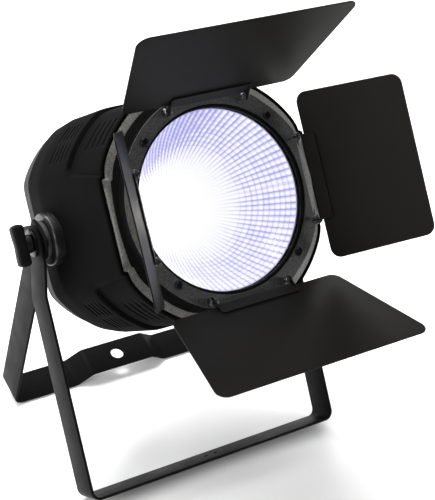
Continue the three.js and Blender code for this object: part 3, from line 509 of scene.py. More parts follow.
def rear_cover():
    """Rings from the seam back over the rounded edge to the panel, and back inside the wall to the seam."""
    ease = 5.0
    bend = np.linspace(0, np.pi / 2, 7)
    outer = [(cover_joint + GAP, 0.6), (cover_joint + GAP + 0.6, 0.0), (back_face - ease, 0.0)]
    outer += [(back_face - ease + ease * math.sin(a), ease * (1 - math.cos(a))) for a in bend[1:]]
    inner = [(cover_joint + GAP, WALL), (back_face - WALL, WALL)]
    outside = np.array([cover_ring(y, inset) for y, inset in outer])
    inside = np.array([cover_ring(y, inset) for y, inset in inner])
    return outward(skin("cover", on_head(np.concatenate([inside[::-1], outside]))))


def panel_cutters():
    """Cutters for the display slot, the four buttons, the fuse and the four sockets."""
    y0, y1 = back_face - WALL - 2, back_face + 2

    def slot(x, z, half_x, half_z):
        reach_x, reach_z = half_x + GAP, half_z + GAP
        return block("slot", (x - reach_x, y0, z - reach_z), (x + reach_x, y1, z + reach_z))

    def hole(x, z, radius):
        return disc("hole", x, z, rod(radius + GAP, y0, y1))
    made = [slot(0, WINDOW["z"], WINDOW["half_x"], WINDOW["half_z"]), hole(0, FUSE["z"], FUSE["radius"])]
    made += [hole(x, BUTTON["z"], BUTTON["radius"]) for x in BUTTON_X]
    for side in (1, -1):
        made.append(slot(side * POWER["x"], POWER["z"], POWER["half_x"], POWER["half_z"]))
        made.append(hole(side * SIGNAL["x"], SIGNAL["z"], SIGNAL["radius"]))
    return made


cover = carved(rear_cover(), panel_cutters(), "rear_shell")
piece("rear_shell", cover, housing_black, "head", "housing_plastic", "rear_cover", sharp=30)

# ---- Front bezel -------------------------------------------------------------------------------------------
# A cast ring that closes the front of the body: a flange on the body's outline, a round nose in front of it
# and a lip that holds the glass. Its granular coat is grey and its lip black; the black on the nose's wall and
# the flat of the step is painted shade.
NOSE_R = LENS_R + 13.0
SEAT_R = LENS_R + 4.0
FRAME_T = 1.5
SLOPE_T = 2.2
FLANGE_INSET = 0.6
glass_front = frame_front + 5.0
nose_face = frame_front + FRAME_T + GAP


def powder_coat(name, color, rough, bead, shine):
    """Granular powder coat: rounded beads about a millimetre apart, with slight mottling. The beads' colour
    varies at random and follows their height, so their crowns are paler: grain and a painted highlight.
    """
    material, shader = finish(name, color, rough, specular=shine)
    beads = grain(material, bead, 2)
    mottle = grain(material, 60, 3)
    # paler bead crowns: random grain and a painted highlight
    tint(material, shader, beads, color, 0.55, 1.9, 0.35, 0.68)
    spread(material, mottle, rough - 0.06, rough + 0.07, shader.inputs["Roughness"])
    relief(material, shader, beads, 0.00022, 0.7)
    return material


powder_grey = powder_coat("powder_grey", (0.021, 0.021, 0.0206), 0.38, 850, 0.26)
powder_black = powder_coat("powder_black", (0.0042, 0.0042, 0.0044), 0.36, 1500, 0.022)


def bezel():
    """Rings from the flange's back over its rim, up its slope, over the nose and down the bore.

    The slope takes the outer 45 % of the way from the rim to the nose, and the rest of the step is flat.
    """
    theta = body_angles(bezel_flange)
    rim = body_ring(bezel_flange, FLANGE_INSET)
    rings = [body_ring(bezel_back, FLANGE_INSET), body_ring(bezel_flange + SLOPE_T + 0.4, FLANGE_INSET),
             body_ring(bezel_flange + SLOPE_T, FLANGE_INSET + 0.2),
             0.55 * rim + 0.45 * ring(NOSE_R, theta, bezel_flange)]
    circles = [(NOSE_R + 0.4, bezel_flange), (NOSE_R + 0.1, bezel_flange - 0.2), (NOSE_R, bezel_flange - 1.4),
               (NOSE_R, nose_face + 1.6), (NOSE_R - 0.5, nose_face + 0.5), (NOSE_R - 1.6, nose_face),
               (LENS_R + 4.5, nose_face), (LENS_R + 0.8, nose_face), (LENS_R, nose_face + 0.8),
               (LENS_R, glass_front - GAP), (SEAT_R + GAP, glass_front - GAP), (SEAT_R + GAP, bezel_back)]
    rings += [ring(radius, theta, y) for radius, y in circles]
    return outward(skin("bezel", on_head(np.array(rings)), joined=True))


cast_grey = powder_coat("cast_grey", (0.060, 0.059, 0.055), 0.42, 850, 0.6)
front_bezel = piece("bezel_ring", bezel(), cast_grey, "head", "powder_black", "front_bezel", sharp=38)
front_bezel.data.materials.append(powder_black)


def black_lip_and_painted_shade(mesh, radius):
    """Gives the second, black material to the lip within `radius`, and as painted shade to the nose's wall and
    the flat of the step.
    """
    centres = np.zeros(len(mesh.polygons) * 3)
    mesh.polygons.foreach_get("center", centres)
    local = (centres.reshape(-1, 3) - PIVOT) / MM @ np.array([RIGHT, HEAD_BACK, HEAD_UP]).T
    apart = np.hypot(local[:, 0], local[:, 2])
    wall = (local[:, 1] < bezel_flange + 0.1) & (local[:, 1] > nose_face + 1.0)
    mesh.polygons.foreach_set("material_index", ((apart < radius) | wall).astype(np.int32))


# the black on the nose's wall and the step is painted shade; the lip is black too
black_lip_and_painted_shade(front_bezel.data, (LENS_R + NOSE_R) / 2)

# ---- Light engine ------------------------------------------------------------------------------------------
# One round white emitter sits at the throat of a deep bowl of bright metal, pressed in rings of small facets
# that spread the beam evenly. A clear glass with a rubber gasket closes it, and a finned sink takes the heat.
REFLECTOR_DEPTH = 70.0
THROAT_R = 16.0
FACETS_ROUND = 80
FACETS_DEEP = 17
FACET_STEPS = 5
METAL_T = 1.4
glass_back = glass_front + 3.0
rim_front = glass_back + 2 * GAP + 1.5
reflector_back = rim_front + REFLECTOR_DEPTH


def bowl_radius(depth):
    """A parabola: the radius squared falls in step with the depth, 0 at the rim and 1 at the throat."""
    mouth = LENS_R - 1.0
    return np.sqrt(THROAT_R ** 2 + (mouth ** 2 - THROAT_R ** 2) * (1 - depth))


def reflector_mesh():
    """Depth by angle, once down the bowl: each facet is a shallow pillow that stands into the bowl.

    The pillow's height is the product of two half sine waves, one round the bowl and one down it. The facets
    keep an even size along the wall, so their depths follow its length.
    """
    fine = np.linspace(0, 1, 400)
    wall = np.stack([bowl_radius(fine), REFLECTOR_DEPTH * fine], -1)
    length = np.append(0, np.cumsum(np.linalg.norm(np.diff(wall, axis=0), axis=1)))
    v = np.linspace(0, FACETS_DEEP, FACETS_DEEP * FACET_STEPS + 1)
    depth = np.interp(v / FACETS_DEEP * length[-1], length, fine)
    u = np.linspace(0, FACETS_ROUND, FACETS_ROUND * FACET_STEPS, endpoint=False)
    pillow = np.abs(np.sin(np.pi * u))[None, :] ** 0.6 * np.abs(np.sin(np.pi * v))[:, None] ** 0.6
    radius = bowl_radius(depth)
    cell = 2 * np.pi * radius / FACETS_ROUND
    inner = radius[:, None] - 0.16 * cell[:, None] * pillow
    theta = 2 * np.pi * u / FACETS_ROUND
    rows = [(SEAT_R, rim_front + METAL_T), (SEAT_R, rim_front), (LENS_R + 0.2, rim_front)]
    rows += [(inner[k], rim_front + REFLECTOR_DEPTH * depth[k]) for k in range(len(v))]
    rows += [(THROAT_R + METAL_T, reflector_back)]
    rows += [(bowl_radius(d) + METAL_T, rim_front + METAL_T + (REFLECTOR_DEPTH - METAL_T) * d)
             for d in np.linspace(1, 0, 12)[1:]]
    rows = [ring(r, theta, y) for r, y in rows]
    mesh = outward(skin("reflector", on_head(np.array(rows)), joined=True))
    mark_facets(mesh, len(theta), 3, len(v), u, v)
    return mesh


def mark_facets(mesh, around, first, count, u, v):
    """Writes each facet's own coordinates, (turns round the bowl, rings down it), as an attribute."""
    place = np.zeros((len(mesh.vertices), 3))
    rows = np.arange(first * around, (first + count) * around)
    place[rows, 0] = np.tile(u, count)
    place[rows, 1] = np.repeat(v, around)
    place[rows, 2] = 1.0
    attribute = mesh.attributes.new("facet", "FLOAT_VECTOR", "POINT")
    attribute.data.foreach_set("vector", place.astype(np.float32).ravel())


# painted glow zones and a painted shade zone, in the head's frame: (centre, distance where it is full, distance
# where it ends)
PAINTED_GLOWS = [((0.0, -46.0, 0.0), 23.0, 62.0), ((-58.0, -92.0, 6.0), 6.0, 42.0)]
PAINTED_SHADE = ((-38.0, -112.0, 62.0), 25.0, 85.0)


def painted_glow_mirror():
    """Pressed metal under the burning lamp, painted bright: its glow is painted light and a painted reflection
    of the lamp, not light that falls on it.

    The glow is white on the facets' crowns, near the throat, and on the near side of the rim. It falls to
    lavender along the facets' edges, whose lines across the beam fade into the glow sooner than the spokes.
    A zone of painted shade high on one side is more lavender, and the bowl's outside has no glow.
    """
    material, shader = finish("painted_glow_mirror", (0.012, 0.012, 0.014), 0.3, metallic=1.0)
    nodes, links = material.node_tree.nodes, material.node_tree.links

    def worked(operation, a, b=0.0, clamp=False):
        node = nodes.new("ShaderNodeMath")
        node.operation = operation
        node.use_clamp = clamp
        for socket, value in zip(node.inputs, (a, b)):
            if isinstance(value, (int, float)):
                socket.default_value = value
            else:
                links.new(value, socket)
        return node.outputs["Value"]
    facet = nodes.new("ShaderNodeAttribute")
    facet.attribute_name = "facet"
    split = nodes.new("ShaderNodeSeparateXYZ")
    links.new(facet.outputs["Vector"], split.inputs["Vector"])
    cell = nodes.new("ShaderNodeVectorMath")
    cell.operation = "FLOOR"
    links.new(facet.outputs["Vector"], cell.inputs[0])
    chance = nodes.new("ShaderNodeTexWhiteNoise")
    links.new(cell.outputs["Vector"], chance.inputs["Vector"])
    coordinates = nodes.new("ShaderNodeTexCoord").outputs["Object"]

    def falling(zone, place):
        """1 within the zone's first distance of its centre, and 0 beyond its second."""
        centre, full, none = zone
        apart = nodes.new("ShaderNodeVectorMath")
        apart.operation = "DISTANCE"
        apart.inputs[1].default_value = tuple(on_head(centre))
        links.new(place, apart.inputs[0])
        fall = nodes.new("ShaderNodeMapRange")
        fall.interpolation_type = "SMOOTHSTEP"
        fall.inputs["From Min"].default_value = none * MM
        fall.inputs["From Max"].default_value = full * MM
        links.new(apart.outputs["Value"], fall.inputs["Value"])
        return fall.outputs["Result"]
    near = worked("MAXIMUM", falling(PAINTED_GLOWS[0], coordinates), falling(PAINTED_GLOWS[1], coordinates))

    def crown(coordinate, lead, width, depth):
        """1 where a facet is fullest, at `lead` of its width, and 1 - `depth` at its edges."""
        off = worked("ABSOLUTE", worked("SUBTRACT", worked("FRACT", coordinate), lead))
        dip = worked("POWER", worked("DIVIDE", off, width, clamp=True), 1.7)
        return worked("SUBTRACT", 1.0, worked("MULTIPLY", dip, depth))
    across = crown(split.outputs["X"], 0.36, 0.62, 1.0)
    down = worked("ADD", crown(split.outputs["Y"], 0.34, 0.62, 0.62), worked("MULTIPLY", near, 1.3), clamp=True)
    uneven = worked("MULTIPLY", worked("SUBTRACT", chance.outputs["Value"], 0.5), 0.20)
    painted_facet_light = worked("ADD", worked("MULTIPLY", worked("MULTIPLY", across, down), 0.93), uneven)
    painted_shade = worked("MULTIPLY", falling(PAINTED_SHADE, coordinates), 0.42)
    painted_facet_light = worked("SUBTRACT", painted_facet_light, painted_shade)
    dimmed = worked("MULTIPLY", painted_facet_light, worked("SUBTRACT", 1.0, near))
    glow = worked("ADD", dimmed, near, clamp=True)
    color = nodes.new("ShaderNodeValToRGB")
    color.color_ramp.elements[0].color = (0.33, 0.32, 0.68, 1.0)
    color.color_ramp.elements[1].color = (1.0, 1.0, 1.0, 1.0)
    color.color_ramp.elements.new(0.38).color = (0.60, 0.59, 0.94, 1.0)
    color.color_ramp.elements.new(0.72).color = (0.90, 0.90, 1.0, 1.0)
    links.new(glow, color.inputs["Fac"])
    inside = nodes.new("ShaderNodeMix")
    inside.data_type = "RGBA"
    inside.inputs[6].default_value = (0.0, 0.0, 0.0, 1.0)
    links.new(split.outputs["Z"], inside.inputs[0])
    links.new(color.outputs["Color"], inside.inputs[7])
    links.new(inside.outputs[2], shader.inputs["Emission Color"])
    shader.inputs["Emission Strength"].default_value = 1.0
    return material


# the reflector's emission is painted light and painted reflection; the reflector is no lamp
piece("faceted_reflector", reflector_mesh(), painted_glow_mirror(), "head", "mirror", "reflector", sharp=60)

# the index is lower than real glass has, so that the soft boxes leave only faint images in it
clear, clear_shader = finish("clear_glass", (1.0, 1.0, 1.0), 0.02)
clear_shader.inputs["Transmission Weight"].default_value = 1.0
clear_shader.inputs["IOR"].default_value = 1.2
piece("clear_front_glass", lathe("glass", eased(rod(SEAT_R, glass_front, glass_back), 0.4), 96), clear, "head",
      "clear_glass", "front_glass", sharp=30)

lamp_white, lamp_shader = finish("lit_phosphor", (0.95, 0.85, 0.5), 0.5)
lamp_shader.inputs["Emission Color"].default_value = (1.0, 0.98, 0.95, 1.0)
lamp_shader.inputs["Emission Strength"].default_value = 6.0
spread(lamp_white, grain(lamp_white, 900, 2), (0.85, 0.72, 0.35), (1.0, 0.92, 0.6),
       lamp_shader.inputs["Base Color"])


def dress(material, *nodes):
    """Gives CAD nodes that keep their own shape a material."""
    for node in nodes:
        frame["nodes"][node].data.materials.clear()
        frame["nodes"][node].data.materials.append(material)


rubber_black = plain_finish("rubber_black", (0.012, 0.012, 0.012), 0.72, scale=1400, depth=0.00008)
extruded_alloy = plain_finish("extruded_alloy", (0.60, 0.61, 0.63), 0.34, 1.0, 300, 0.08, stretch=(9, 1, 9))
white_mask_painted_glow = plain_finish("white_mask_painted_glow", (0.80, 0.80, 0.77), 0.45, scale=700)
mask_painted_glow_shader = white_mask_painted_glow.node_tree.nodes["Principled BSDF"]
# the board's glow is painted light from the emitter beside it; the board is no lamp
mask_painted_glow_shader.inputs["Emission Color"].default_value = (1.0, 0.99, 0.97, 1.0)
mask_painted_glow_shader.inputs["Emission Strength"].default_value = 1.5
green_board = plain_finish("green_board", (0.016, 0.085, 0.035), 0.4, scale=240, vary=0.3)
turned_brass = plain_finish("turned_brass", (0.62, 0.43, 0.16), 0.26, 1.0, 900, 0.1, stretch=(1, 8, 8))
hard_black = moulded_plastic("hard_black", (0.007, 0.007, 0.0073), 0.3)
dress(lamp_white, "led_emitter")
dress(white_mask_painted_glow, "led_board")
dress(extruded_alloy, "heatsink", "power_supply")
dress(green_board, "control_board")
dress(rubber_black, "glass_gasket")
dress(hard_black, "fan_frame", "fan_rotor")
dress(turned_brass, "left_insert", "right_insert")

# ---- Barn door frame ---------------------------------------------------------------------------------------
# A ring of sheet steel with four straight sides. Two ears for each leaf are bent forward from it, and four
# small black screws hold it on the bezel. It is powder coated with its ears already bent.
FRAME_R = LENS_R + 15.0
FRAME_SIDE = LENS_R + 5.5
FRAME_TOP = LENS_R + 8.0
FRAME_HOLE_R = LENS_R + 2.5
PIN_RISE = 9.0
PIN_R = 1.5
EAR_R = 3.2
EAR_T = 1.5
EAR_INSET = 1.8
pin_y = frame_front - PIN_RISE
HINGES = {
    "right": dict(turn=0, offset=LENS_R + 1.0, spread=35.0),
    "top": dict(turn=-90, offset=LENS_R + 2.5, spread=36.0),
    "left": dict(turn=180, offset=LENS_R + 1.0, spread=35.0),
    "bottom": dict(turn=90, offset=LENS_R + 2.5, spread=36.0),
}


def at_hinge(side, points, swing=0.0):
    """Points about a hinge axis (x outward, y back, z along it), swung forward and put on the head."""
    hinge = HINGES[side]
    points = np.asarray(points, float)
    angle = math.radians(swing)
    x = points[..., 0] * math.cos(angle) + points[..., 1] * math.sin(angle) + hinge["offset"]
    y = -points[..., 0] * math.sin(angle) + points[..., 1] * math.cos(angle) + pin_y
    z = points[..., 2]
    turn = math.radians(hinge["turn"])
    across = x * math.cos(turn) + z * math.sin(turn)
    up = -x * math.sin(turn) + z * math.cos(turn)
    return on_head(np.stack([across, y, up], -1))


def plate(name, outline, low, high, axis, place):
    """A flat plate: an outline of [u, v] points, thick from low to high along `axis` (1 is y, 2 is z)."""
    outline = np.asarray(outline, float)
    rings = []
    for level in (low, high):
        fixed = np.full(len(outline), level)
        columns = [outline[:, 0], outline[:, 1]]
        columns.insert(axis, fixed)
        rings.append(np.stack(columns, -1))
    return outward(skin(name, place(np.array(rings))))


def frame_ring():
    """The flat ring: outside a circle cut by four straight sides, as a soft minimum, and round inside."""
    theta = np.linspace(0, 2 * np.pi, 180, endpoint=False)
    sharp = 160.0
    cut = (np.abs(np.cos(theta)) / FRAME_SIDE) ** sharp + (np.abs(np.sin(theta)) / FRAME_TOP) ** sharp
    outer = (FRAME_R ** -sharp + cut) ** (-1 / sharp)
    back = frame_front + FRAME_T
    section = [(outer, back), (outer, frame_front), (FRAME_HOLE_R, frame_front), (FRAME_HOLE_R, back)]
    rings = [ring(radius, theta, y) for radius, y in section]
    return outward(skin("frame_ring", on_head(np.array(rings)), joined=True))


def ear_outline(radius, foot):
    """A tab with a half-round end about the pin and a straight foot, as [x, y] points, y negative forward."""
    angle = np.linspace(0, np.pi, 16)
    end = np.stack([radius * np.cos(angle), -radius * np.sin(angle)], -1)
    return np.concatenate([[(radius, foot)], end, [(-radius, foot)]])


def frame_ears():
    """Eight ears, each a flat tab whose foot stands in the ring."""
    made = []
    for side, hinge in HINGES.items():
        inner = hinge["spread"] - EAR_INSET
        for low, high in ((inner, inner + EAR_T), (-inner - EAR_T, -inner)):
            made.append(plate("ear", ear_outline(EAR_R, PIN_RISE + 0.5), low, high, 2,
                              lambda points, side=side: at_hinge(side, points)))
    return made


piece("barn_door_frame", together("barn_door_frame", frame_ring(), *frame_ears()), powder_grey, "head",
      "powder_black", "door_frame", bevel=0.35)

SCREW_R = 1.5
SCREW_HEAD_R = 3.6
SCREW_CIRCLE = LENS_R + 7.0


def black_oxide(name, color, rough):
    """Blackened steel, shiny on its raised edges, with a fine turning grain."""
    material, shader = finish(name, color, rough, metallic=1.0)
    fine = grain(material, 1800, 2)
    tint(material, shader, fine, color, 0.7, 1.3)
    spread(material, fine, rough - 0.06, rough + 0.1, shader.inputs["Roughness"])
    relief(material, shader, fine, 0.00003, 0.4)
    return material


blackened = black_oxide("blackened_steel", (0.014, 0.014, 0.015), 0.3)


def screw_top(radius, height, recess, sides=48):
    """A pan head as (radius by angle): a low dome with a cross recess pressed into it.

    The cross is the union of two bars, deepest in the middle, as a soft step on the distance to each bar.
    """
    share = np.linspace(1, 0.02, 16)[:, None]
    theta = np.linspace(0, 2 * np.pi, sides, endpoint=False)[None, :]
    r = radius * share
    dome = height * (1 - share ** 4 * 0.55)
    bar = np.minimum(np.abs(r * np.cos(theta)), np.abs(r * np.sin(theta)))
    arm = np.clip((0.45 - bar) / 0.25, 0, 1) * np.clip((0.62 * radius - r) / 0.5, 0, 1)
    z = dome - recess * arm
    return np.stack([r * np.cos(theta), -z, r * np.sin(theta)], -1)


def frame_screw(angle):
    """A black pan-head screw: its shank and a domed head with a cross recess."""
    x, z = SCREW_CIRCLE * math.cos(angle), SCREW_CIRCLE * math.sin(angle)
    seat = frame_front - GAP
    top = screw_top(SCREW_HEAD_R, 2.0, 1.1) + np.array([0, seat, 0])
    theta = np.linspace(0, 2 * np.pi, top.shape[1], endpoint=False)
    below = [(0.02, seat + 5.3), (SCREW_R, seat + 5.2), (SCREW_R, seat), (SCREW_HEAD_R, seat)]
    shank = np.array([[(r * math.cos(t), y, r * math.sin(t)) for t in theta] for r, y in below])
    return outward(skin("screw", on_head(np.concatenate([shank, top]) + np.array([x, 0.0, z]))))


for number, degrees in enumerate((45, 135, 225, 315), start=1):
    piece(f"black_frame_screw_{number}", frame_screw(math.radians(degrees)), blackened, "head", "steel",
          f"frame_screw_{number}", sharp=40)

# ---- Barn door leaves --------------------------------------------------------------------------------------
# Four leaves of thin sheet steel with rounded corners and a satin black paint. Each has a narrow hinge strip
# spot-welded to its inner side, whose ears turn on two small screws through the frame's ears.
LEAF_T = 1.2
LEAF_CORNER = 9.0
LEAF_START = 5.5
LEAF_SEAT = 1.5
SIDE_LEAF = dict(length=95.0, inner=LENS_R - 4.3, outer=LENS_R - 9.5, swing=60.0)
TOP_LEAF = dict(length=104.0, inner=LENS_R + 3.8, outer=LENS_R + 23.8, swing=65.0)
LEAVES = {"right": SIDE_LEAF, "left": SIDE_LEAF, "top": TOP_LEAF, "bottom": dict(TOP_LEAF, swing=58.0)}


def satin_paint(name, color, rough):
    """Thin satin paint on sheet steel: a soft orange peel, broad changes of gloss and a few lighter rubs."""
    material, shader = finish(name, color, rough, specular=0.07)
    peel = grain(material, 420, 2)
    cloud = grain(material, 9, 3)
    tint(material, shader, cloud, color, 0.8, 1.3)
    spread(material, cloud, rough - 0.05, rough + 0.05, shader.inputs["Roughness"])
    relief(material, shader, peel, 0.00006, 0.35)
    return material


leaf_black = satin_paint("leaf_black", (0.0060, 0.0055, 0.0047), 0.46)


def rounded_outline(corners, steps=10):
    """A polygon's outline with every corner turned on an arc: corners are (x, y, radius)."""
    made = []
    points = np.array([corner[:2] for corner in corners], float)
    for k, (x, y, radius) in enumerate(corners):
        here = points[k]
        to_before = points[k - 1] - here
        to_after = points[(k + 1) % len(points)] - here
        to_before, to_after = to_before / np.linalg.norm(to_before), to_after / np.linalg.norm(to_after)
        if not radius:
            made.append(here[None, :])
            continue
        half = math.acos(np.clip(to_before @ to_after, -1, 1)) / 2
        toward = (to_before + to_after) / np.linalg.norm(to_before + to_after)
        centre = here + toward * radius / math.sin(half)
        start = here + to_before * radius / math.tan(half) - centre
        end = here + to_after * radius / math.tan(half) - centre
        first = math.atan2(start[1], start[0])
        sweep = (math.atan2(end[1], end[0]) - first + math.pi) % (2 * math.pi) - math.pi
        angle = first + sweep * np.linspace(0, 1, steps)
        made.append(centre + radius * np.stack([np.cos(angle), np.sin(angle)], -1))
    return np.concatenate(made)


def leaf_plate(side):
    """The leaf's sheet: a trapezium with round corners, drawn from its hinge axis outward."""
    leaf = LEAVES[side]
    near, far = LEAF_START, LEAF_START + leaf["length"]
    outline = rounded_outline([(near, -leaf["inner"], LEAF_CORNER), (far, -leaf["outer"], LEAF_CORNER),
                               (far, leaf["outer"], LEAF_CORNER), (near, leaf["inner"], LEAF_CORNER)])
    low = LEAF_SEAT + GAP
    return plate("leaf", outline, low, low + LEAF_T, 1, lambda p: at_hinge(side, p, leaf["swing"]))


def hinge_strip(side):
    """The strip: a narrow plate with rounded ends, and an ear round each hinge screw bent up from it."""
    leaf, spread_z = LEAVES[side], HINGES[side]["spread"]
    inner = spread_z - EAR_INSET + EAR_T + GAP
    reach = inner + LEAF_T
    outline = rounded_outline([(4.2, -reach, 0), (16, -reach, 3), (16, reach, 3), (4.2, reach, 0)], 6)

    def place(points):
        return at_hinge(side, points, leaf["swing"])
    angle = np.radians(np.linspace(-50, -325, 28))
    ear = np.concatenate([[(4.2, LEAF_SEAT), (13, LEAF_SEAT), (13, LEAF_SEAT - 1.0)],
                          np.stack([4 * np.cos(angle), 4 * np.sin(angle)], -1)])
    made = [plate("strip", outline, LEAF_SEAT - LEAF_T, LEAF_SEAT, 1, place)]
    for low, high in ((inner, inner + LEAF_T), (-inner - LEAF_T, -inner)):
        made.append(plate("ear", ear, low, high, 2, place))
    return made


def hinge_screw(side, end):
    """A small screw through both ears: a round head inside, a shank, and a nut with a washer outside."""
    spread_z = HINGES[side]["spread"]
    head_seat = spread_z - EAR_INSET - GAP
    nut_seat = spread_z - EAR_INSET + EAR_T + GAP + LEAF_T + GAP

    def place(points):
        return at_hinge(side, np.stack([points[..., 0], points[..., 2], end * points[..., 1]], -1))
    body = [(0, head_seat - 1.8), (1.6, head_seat - 1.7), (2.3, head_seat - 1.1), (2.6, head_seat - 0.3),
            (2.6, head_seat), (PIN_R, head_seat), (PIN_R, nut_seat + 2.3), (1.1, nut_seat + 2.6),
            (0, nut_seat + 2.6)]
    nut = [(0, nut_seat + 0.5), (2.9, nut_seat + 0.5), (2.9, nut_seat + 1.9), (2.5, nut_seat + 2.2),
           (0, nut_seat + 2.2)]
    washer = rod(2.9, nut_seat, nut_seat + 0.5)
    return [lathe("body", body, 24, place), lathe("nut", nut, 6, place), lathe("washer", washer, 20, place)]


zinc = black_oxide("dark_zinc", (0.075, 0.075, 0.078), 0.27)
for side in LEAVES:
    door = f"{side}_door"
    piece(f"{side}_leaf_sheet", leaf_plate(side), leaf_black, door, "leaf_black", f"{side}_leaf", bevel=0.4)
    piece(f"{side}_leaf_strip", together("strip", *hinge_strip(side)), leaf_black, door, "powder_black",
          f"{side}_hinge_strip", bevel=0.3)
    for number, end in ((1, 1), (2, -1)):
        piece(f"{side}_pin_{number}", together("pin", *hinge_screw(side, end)), zinc, "head", "steel",
              f"{side}_hinge_screw_{number}", sharp=30)

# ---- Brackets ----------------------------------------------------------------------------------------------
# Two U-brackets bent from flat steel strip and powder coated. The front one steps outward below the pivot so
# that the rear one folds inside it, and the rear one's bar is raised in the middle round the bolt's hole.
STRIP_W = 31.0
STRIP_T = 2.5
STRIP_END = 15.0
STRIP_CORNER = 5.0
BEND_R = 9.0
SOFT_BEND_R = 6.0
RAISE_BEND_R = 8.0
WASHER_T = 1.2
PAD_T = 3.9
BAR_HOLE_R = 2.0
BAR_HOLE_X = 5.0
CLAMP_HOLE_R = 6.5
FRONT_STEP = dict(out=5.7, top=-19.0, foot=-46.0)
REAR_RAISE = dict(rise=10.0, foot=48.0, top=33.0)
FRONT_LENGTH = 226.0
FRONT_LEAN = 28.3
REAR_LEAN = 20.4
rear_outer = BOSS_FACE + 2 * GAP + PAD_T + STRIP_T
front_outer = rear_outer + 2 * GAP + WASHER_T + STRIP_T
pivot_height = PIVOT[2] / MM
rear_lean = math.radians(REAR_LEAN)
rear_length = (pivot_height - STRIP_W / 2 * math.sin(rear_lean)) / math.cos(rear_lean)


def on_bracket(lean):
    """A function that leans points about the pivot's axis by `lean` degrees and puts them in the row frame."""
    c, s = math.cos(math.radians(lean)), math.sin(math.radians(lean))

    def place(points):
        points = np.asarray(points, float)
        x, y, z = points[..., 0], points[..., 1], points[..., 2]
        return PIVOT + MM * np.stack([x, y * c - z * s, y * s + z * c], -1)
    return place


def bent_strip(name, corners, place):
    """A strip's section carried along the middle line of its bends.

    The line is a chain of straight runs and arcs in XZ. The section is a flat bar with rounded edges, which
    narrows on a quarter circle at both ends of the strip.
    """
    line = rounded_outline(corners, 9)
    runs = [np.linspace(start, end, max(2, int(np.linalg.norm(end - start) / 12) + 1))[:-1]
            for start, end in zip(line, line[1:])]
    corner_steps = STRIP_CORNER * (1 - np.cos(np.linspace(0, np.pi / 2, 7)))
    first = line[0] + (line[1] - line[0]) / np.linalg.norm(line[1] - line[0]) * corner_steps[:, None]
    last = line[-1] + (line[-2] - line[-1]) / np.linalg.norm(line[-2] - line[-1]) * corner_steps[:, None]
    line = np.concatenate([first, runs[0][1:], *runs[1:], last[::-1]])
    ahead = np.gradient(line, axis=0)
    ahead = ahead / np.linalg.norm(ahead, axis=1)[:, None]
    across = np.stack([-ahead[:, 1], ahead[:, 0]], -1)
    taper = STRIP_CORNER - np.sqrt(np.maximum(0, STRIP_CORNER ** 2 - (STRIP_CORNER - corner_steps) ** 2))
    narrow = np.zeros(len(line))
    narrow[:7], narrow[-7:] = taper, taper[::-1]
    edge = 0.7
    angle, side_flat, side_wide = four_arcs(4)
    flat = side_flat * (STRIP_T / 2 - edge) + edge * np.cos(angle)
    wide = side_wide * (STRIP_W / 2 - edge) + edge * np.sin(angle)
    side = np.sign(wide)[None, :] * (np.abs(wide)[None, :] - narrow[:, None])
    x = line[:, 0][:, None] + across[:, 0][:, None] * flat[None, :]
    z = line[:, 1][:, None] + across[:, 1][:, None] * flat[None, :]
    return outward(skin(name, place(np.stack([x, side, z], -1))))


def upright_hole(radius, x, z, place):
    """A cutter for a round hole through a bar whose middle is at height z."""
    def stand(points):
        return place(np.stack([points[..., 0] + x, points[..., 2], points[..., 1] + z], -1))
    return lathe("hole", rod(radius, -STRIP_T - 2, STRIP_T + 2), 40, stand)


def both_sides(corners):
    """The corners of one half of a strip's line, carried on over the other half."""
    return corners + [(-x, z, radius) for x, z, radius in corners[::-1]]


half = STRIP_T / 2
leg = front_outer - half
spread_leg = leg + FRONT_STEP["out"]
bar = half - FRONT_LENGTH
front_line = both_sides([(leg, STRIP_END, 0), (leg, FRONT_STEP["top"], SOFT_BEND_R),
                         (spread_leg, FRONT_STEP["foot"], SOFT_BEND_R), (spread_leg, bar, BEND_R - half)])
front_place = on_bracket(-FRONT_LEAN)
bar_holes = [upright_hole(BAR_HOLE_R, x, bar, front_place) for x in (-BAR_HOLE_X, BAR_HOLE_X)]
front_strip = carved(bent_strip("front_strip", front_line, front_place), bar_holes, "front_strip")
piece("front_strip_bracket", front_strip, powder_black, "front_stand", "powder_black", "front_bracket",
      sharp=30)

leg = rear_outer - half
bar = half - rear_length
raised = REAR_RAISE["rise"] + bar
rear_line = both_sides([(leg, STRIP_END, 0), (leg, bar, BEND_R - half), (REAR_RAISE["foot"], bar, RAISE_BEND_R),
                        (REAR_RAISE["top"], raised, RAISE_BEND_R)])
rear_place = on_bracket(REAR_LEAN)
clamp_hole = upright_hole(CLAMP_HOLE_R, 0.0, raised, rear_place)
rear_strip = carved(bent_strip("rear_strip", rear_line, rear_place), [clamp_hole], "rear_strip")
piece("rear_strip_bracket", rear_strip, powder_black, "rear_stand", "powder_black", "rear_bracket", sharp=30)

# ---- Pivot stacks ------------------------------------------------------------------------------------------
# On each side a rubber pad, the rear bracket, a washer, the front bracket and another washer are squeezed
# together by a moulded knob, whose steel stud screws into a brass insert in the boss.
PAD_R = 17.0
WASHER_R = 14.0
KNOB_WASHER_R = 12.0
STUD_R = 4.0
KNOB_HUB_R = 8.0
KNOB_HUB_L = 3.5
WING_LENGTH = 18.5
WING_HALF = 5.5
knob_face = front_outer + GAP + WASHER_T + GAP
wing_root = knob_face + KNOB_HUB_L


def on_stack(side):
    """A function that puts points turned about Y onto the pivot's axis, out to the given side."""
    def place(points):
        points = np.asarray(points, float)
        return on_head(np.stack([side * points[..., 1], points[..., 0], points[..., 2]], -1))
    return place


def ring_profile(radius, inner, start, thickness, edge):
    """The closed section of a flat ring with eased edges."""
    end = start + thickness
    near = 0.3 * edge
    return [(inner, start), (radius - edge, start), (radius - near, start + near), (radius, start + edge),
            (radius, end - edge), (radius - near, end - near), (radius - edge, end), (inner, end)]


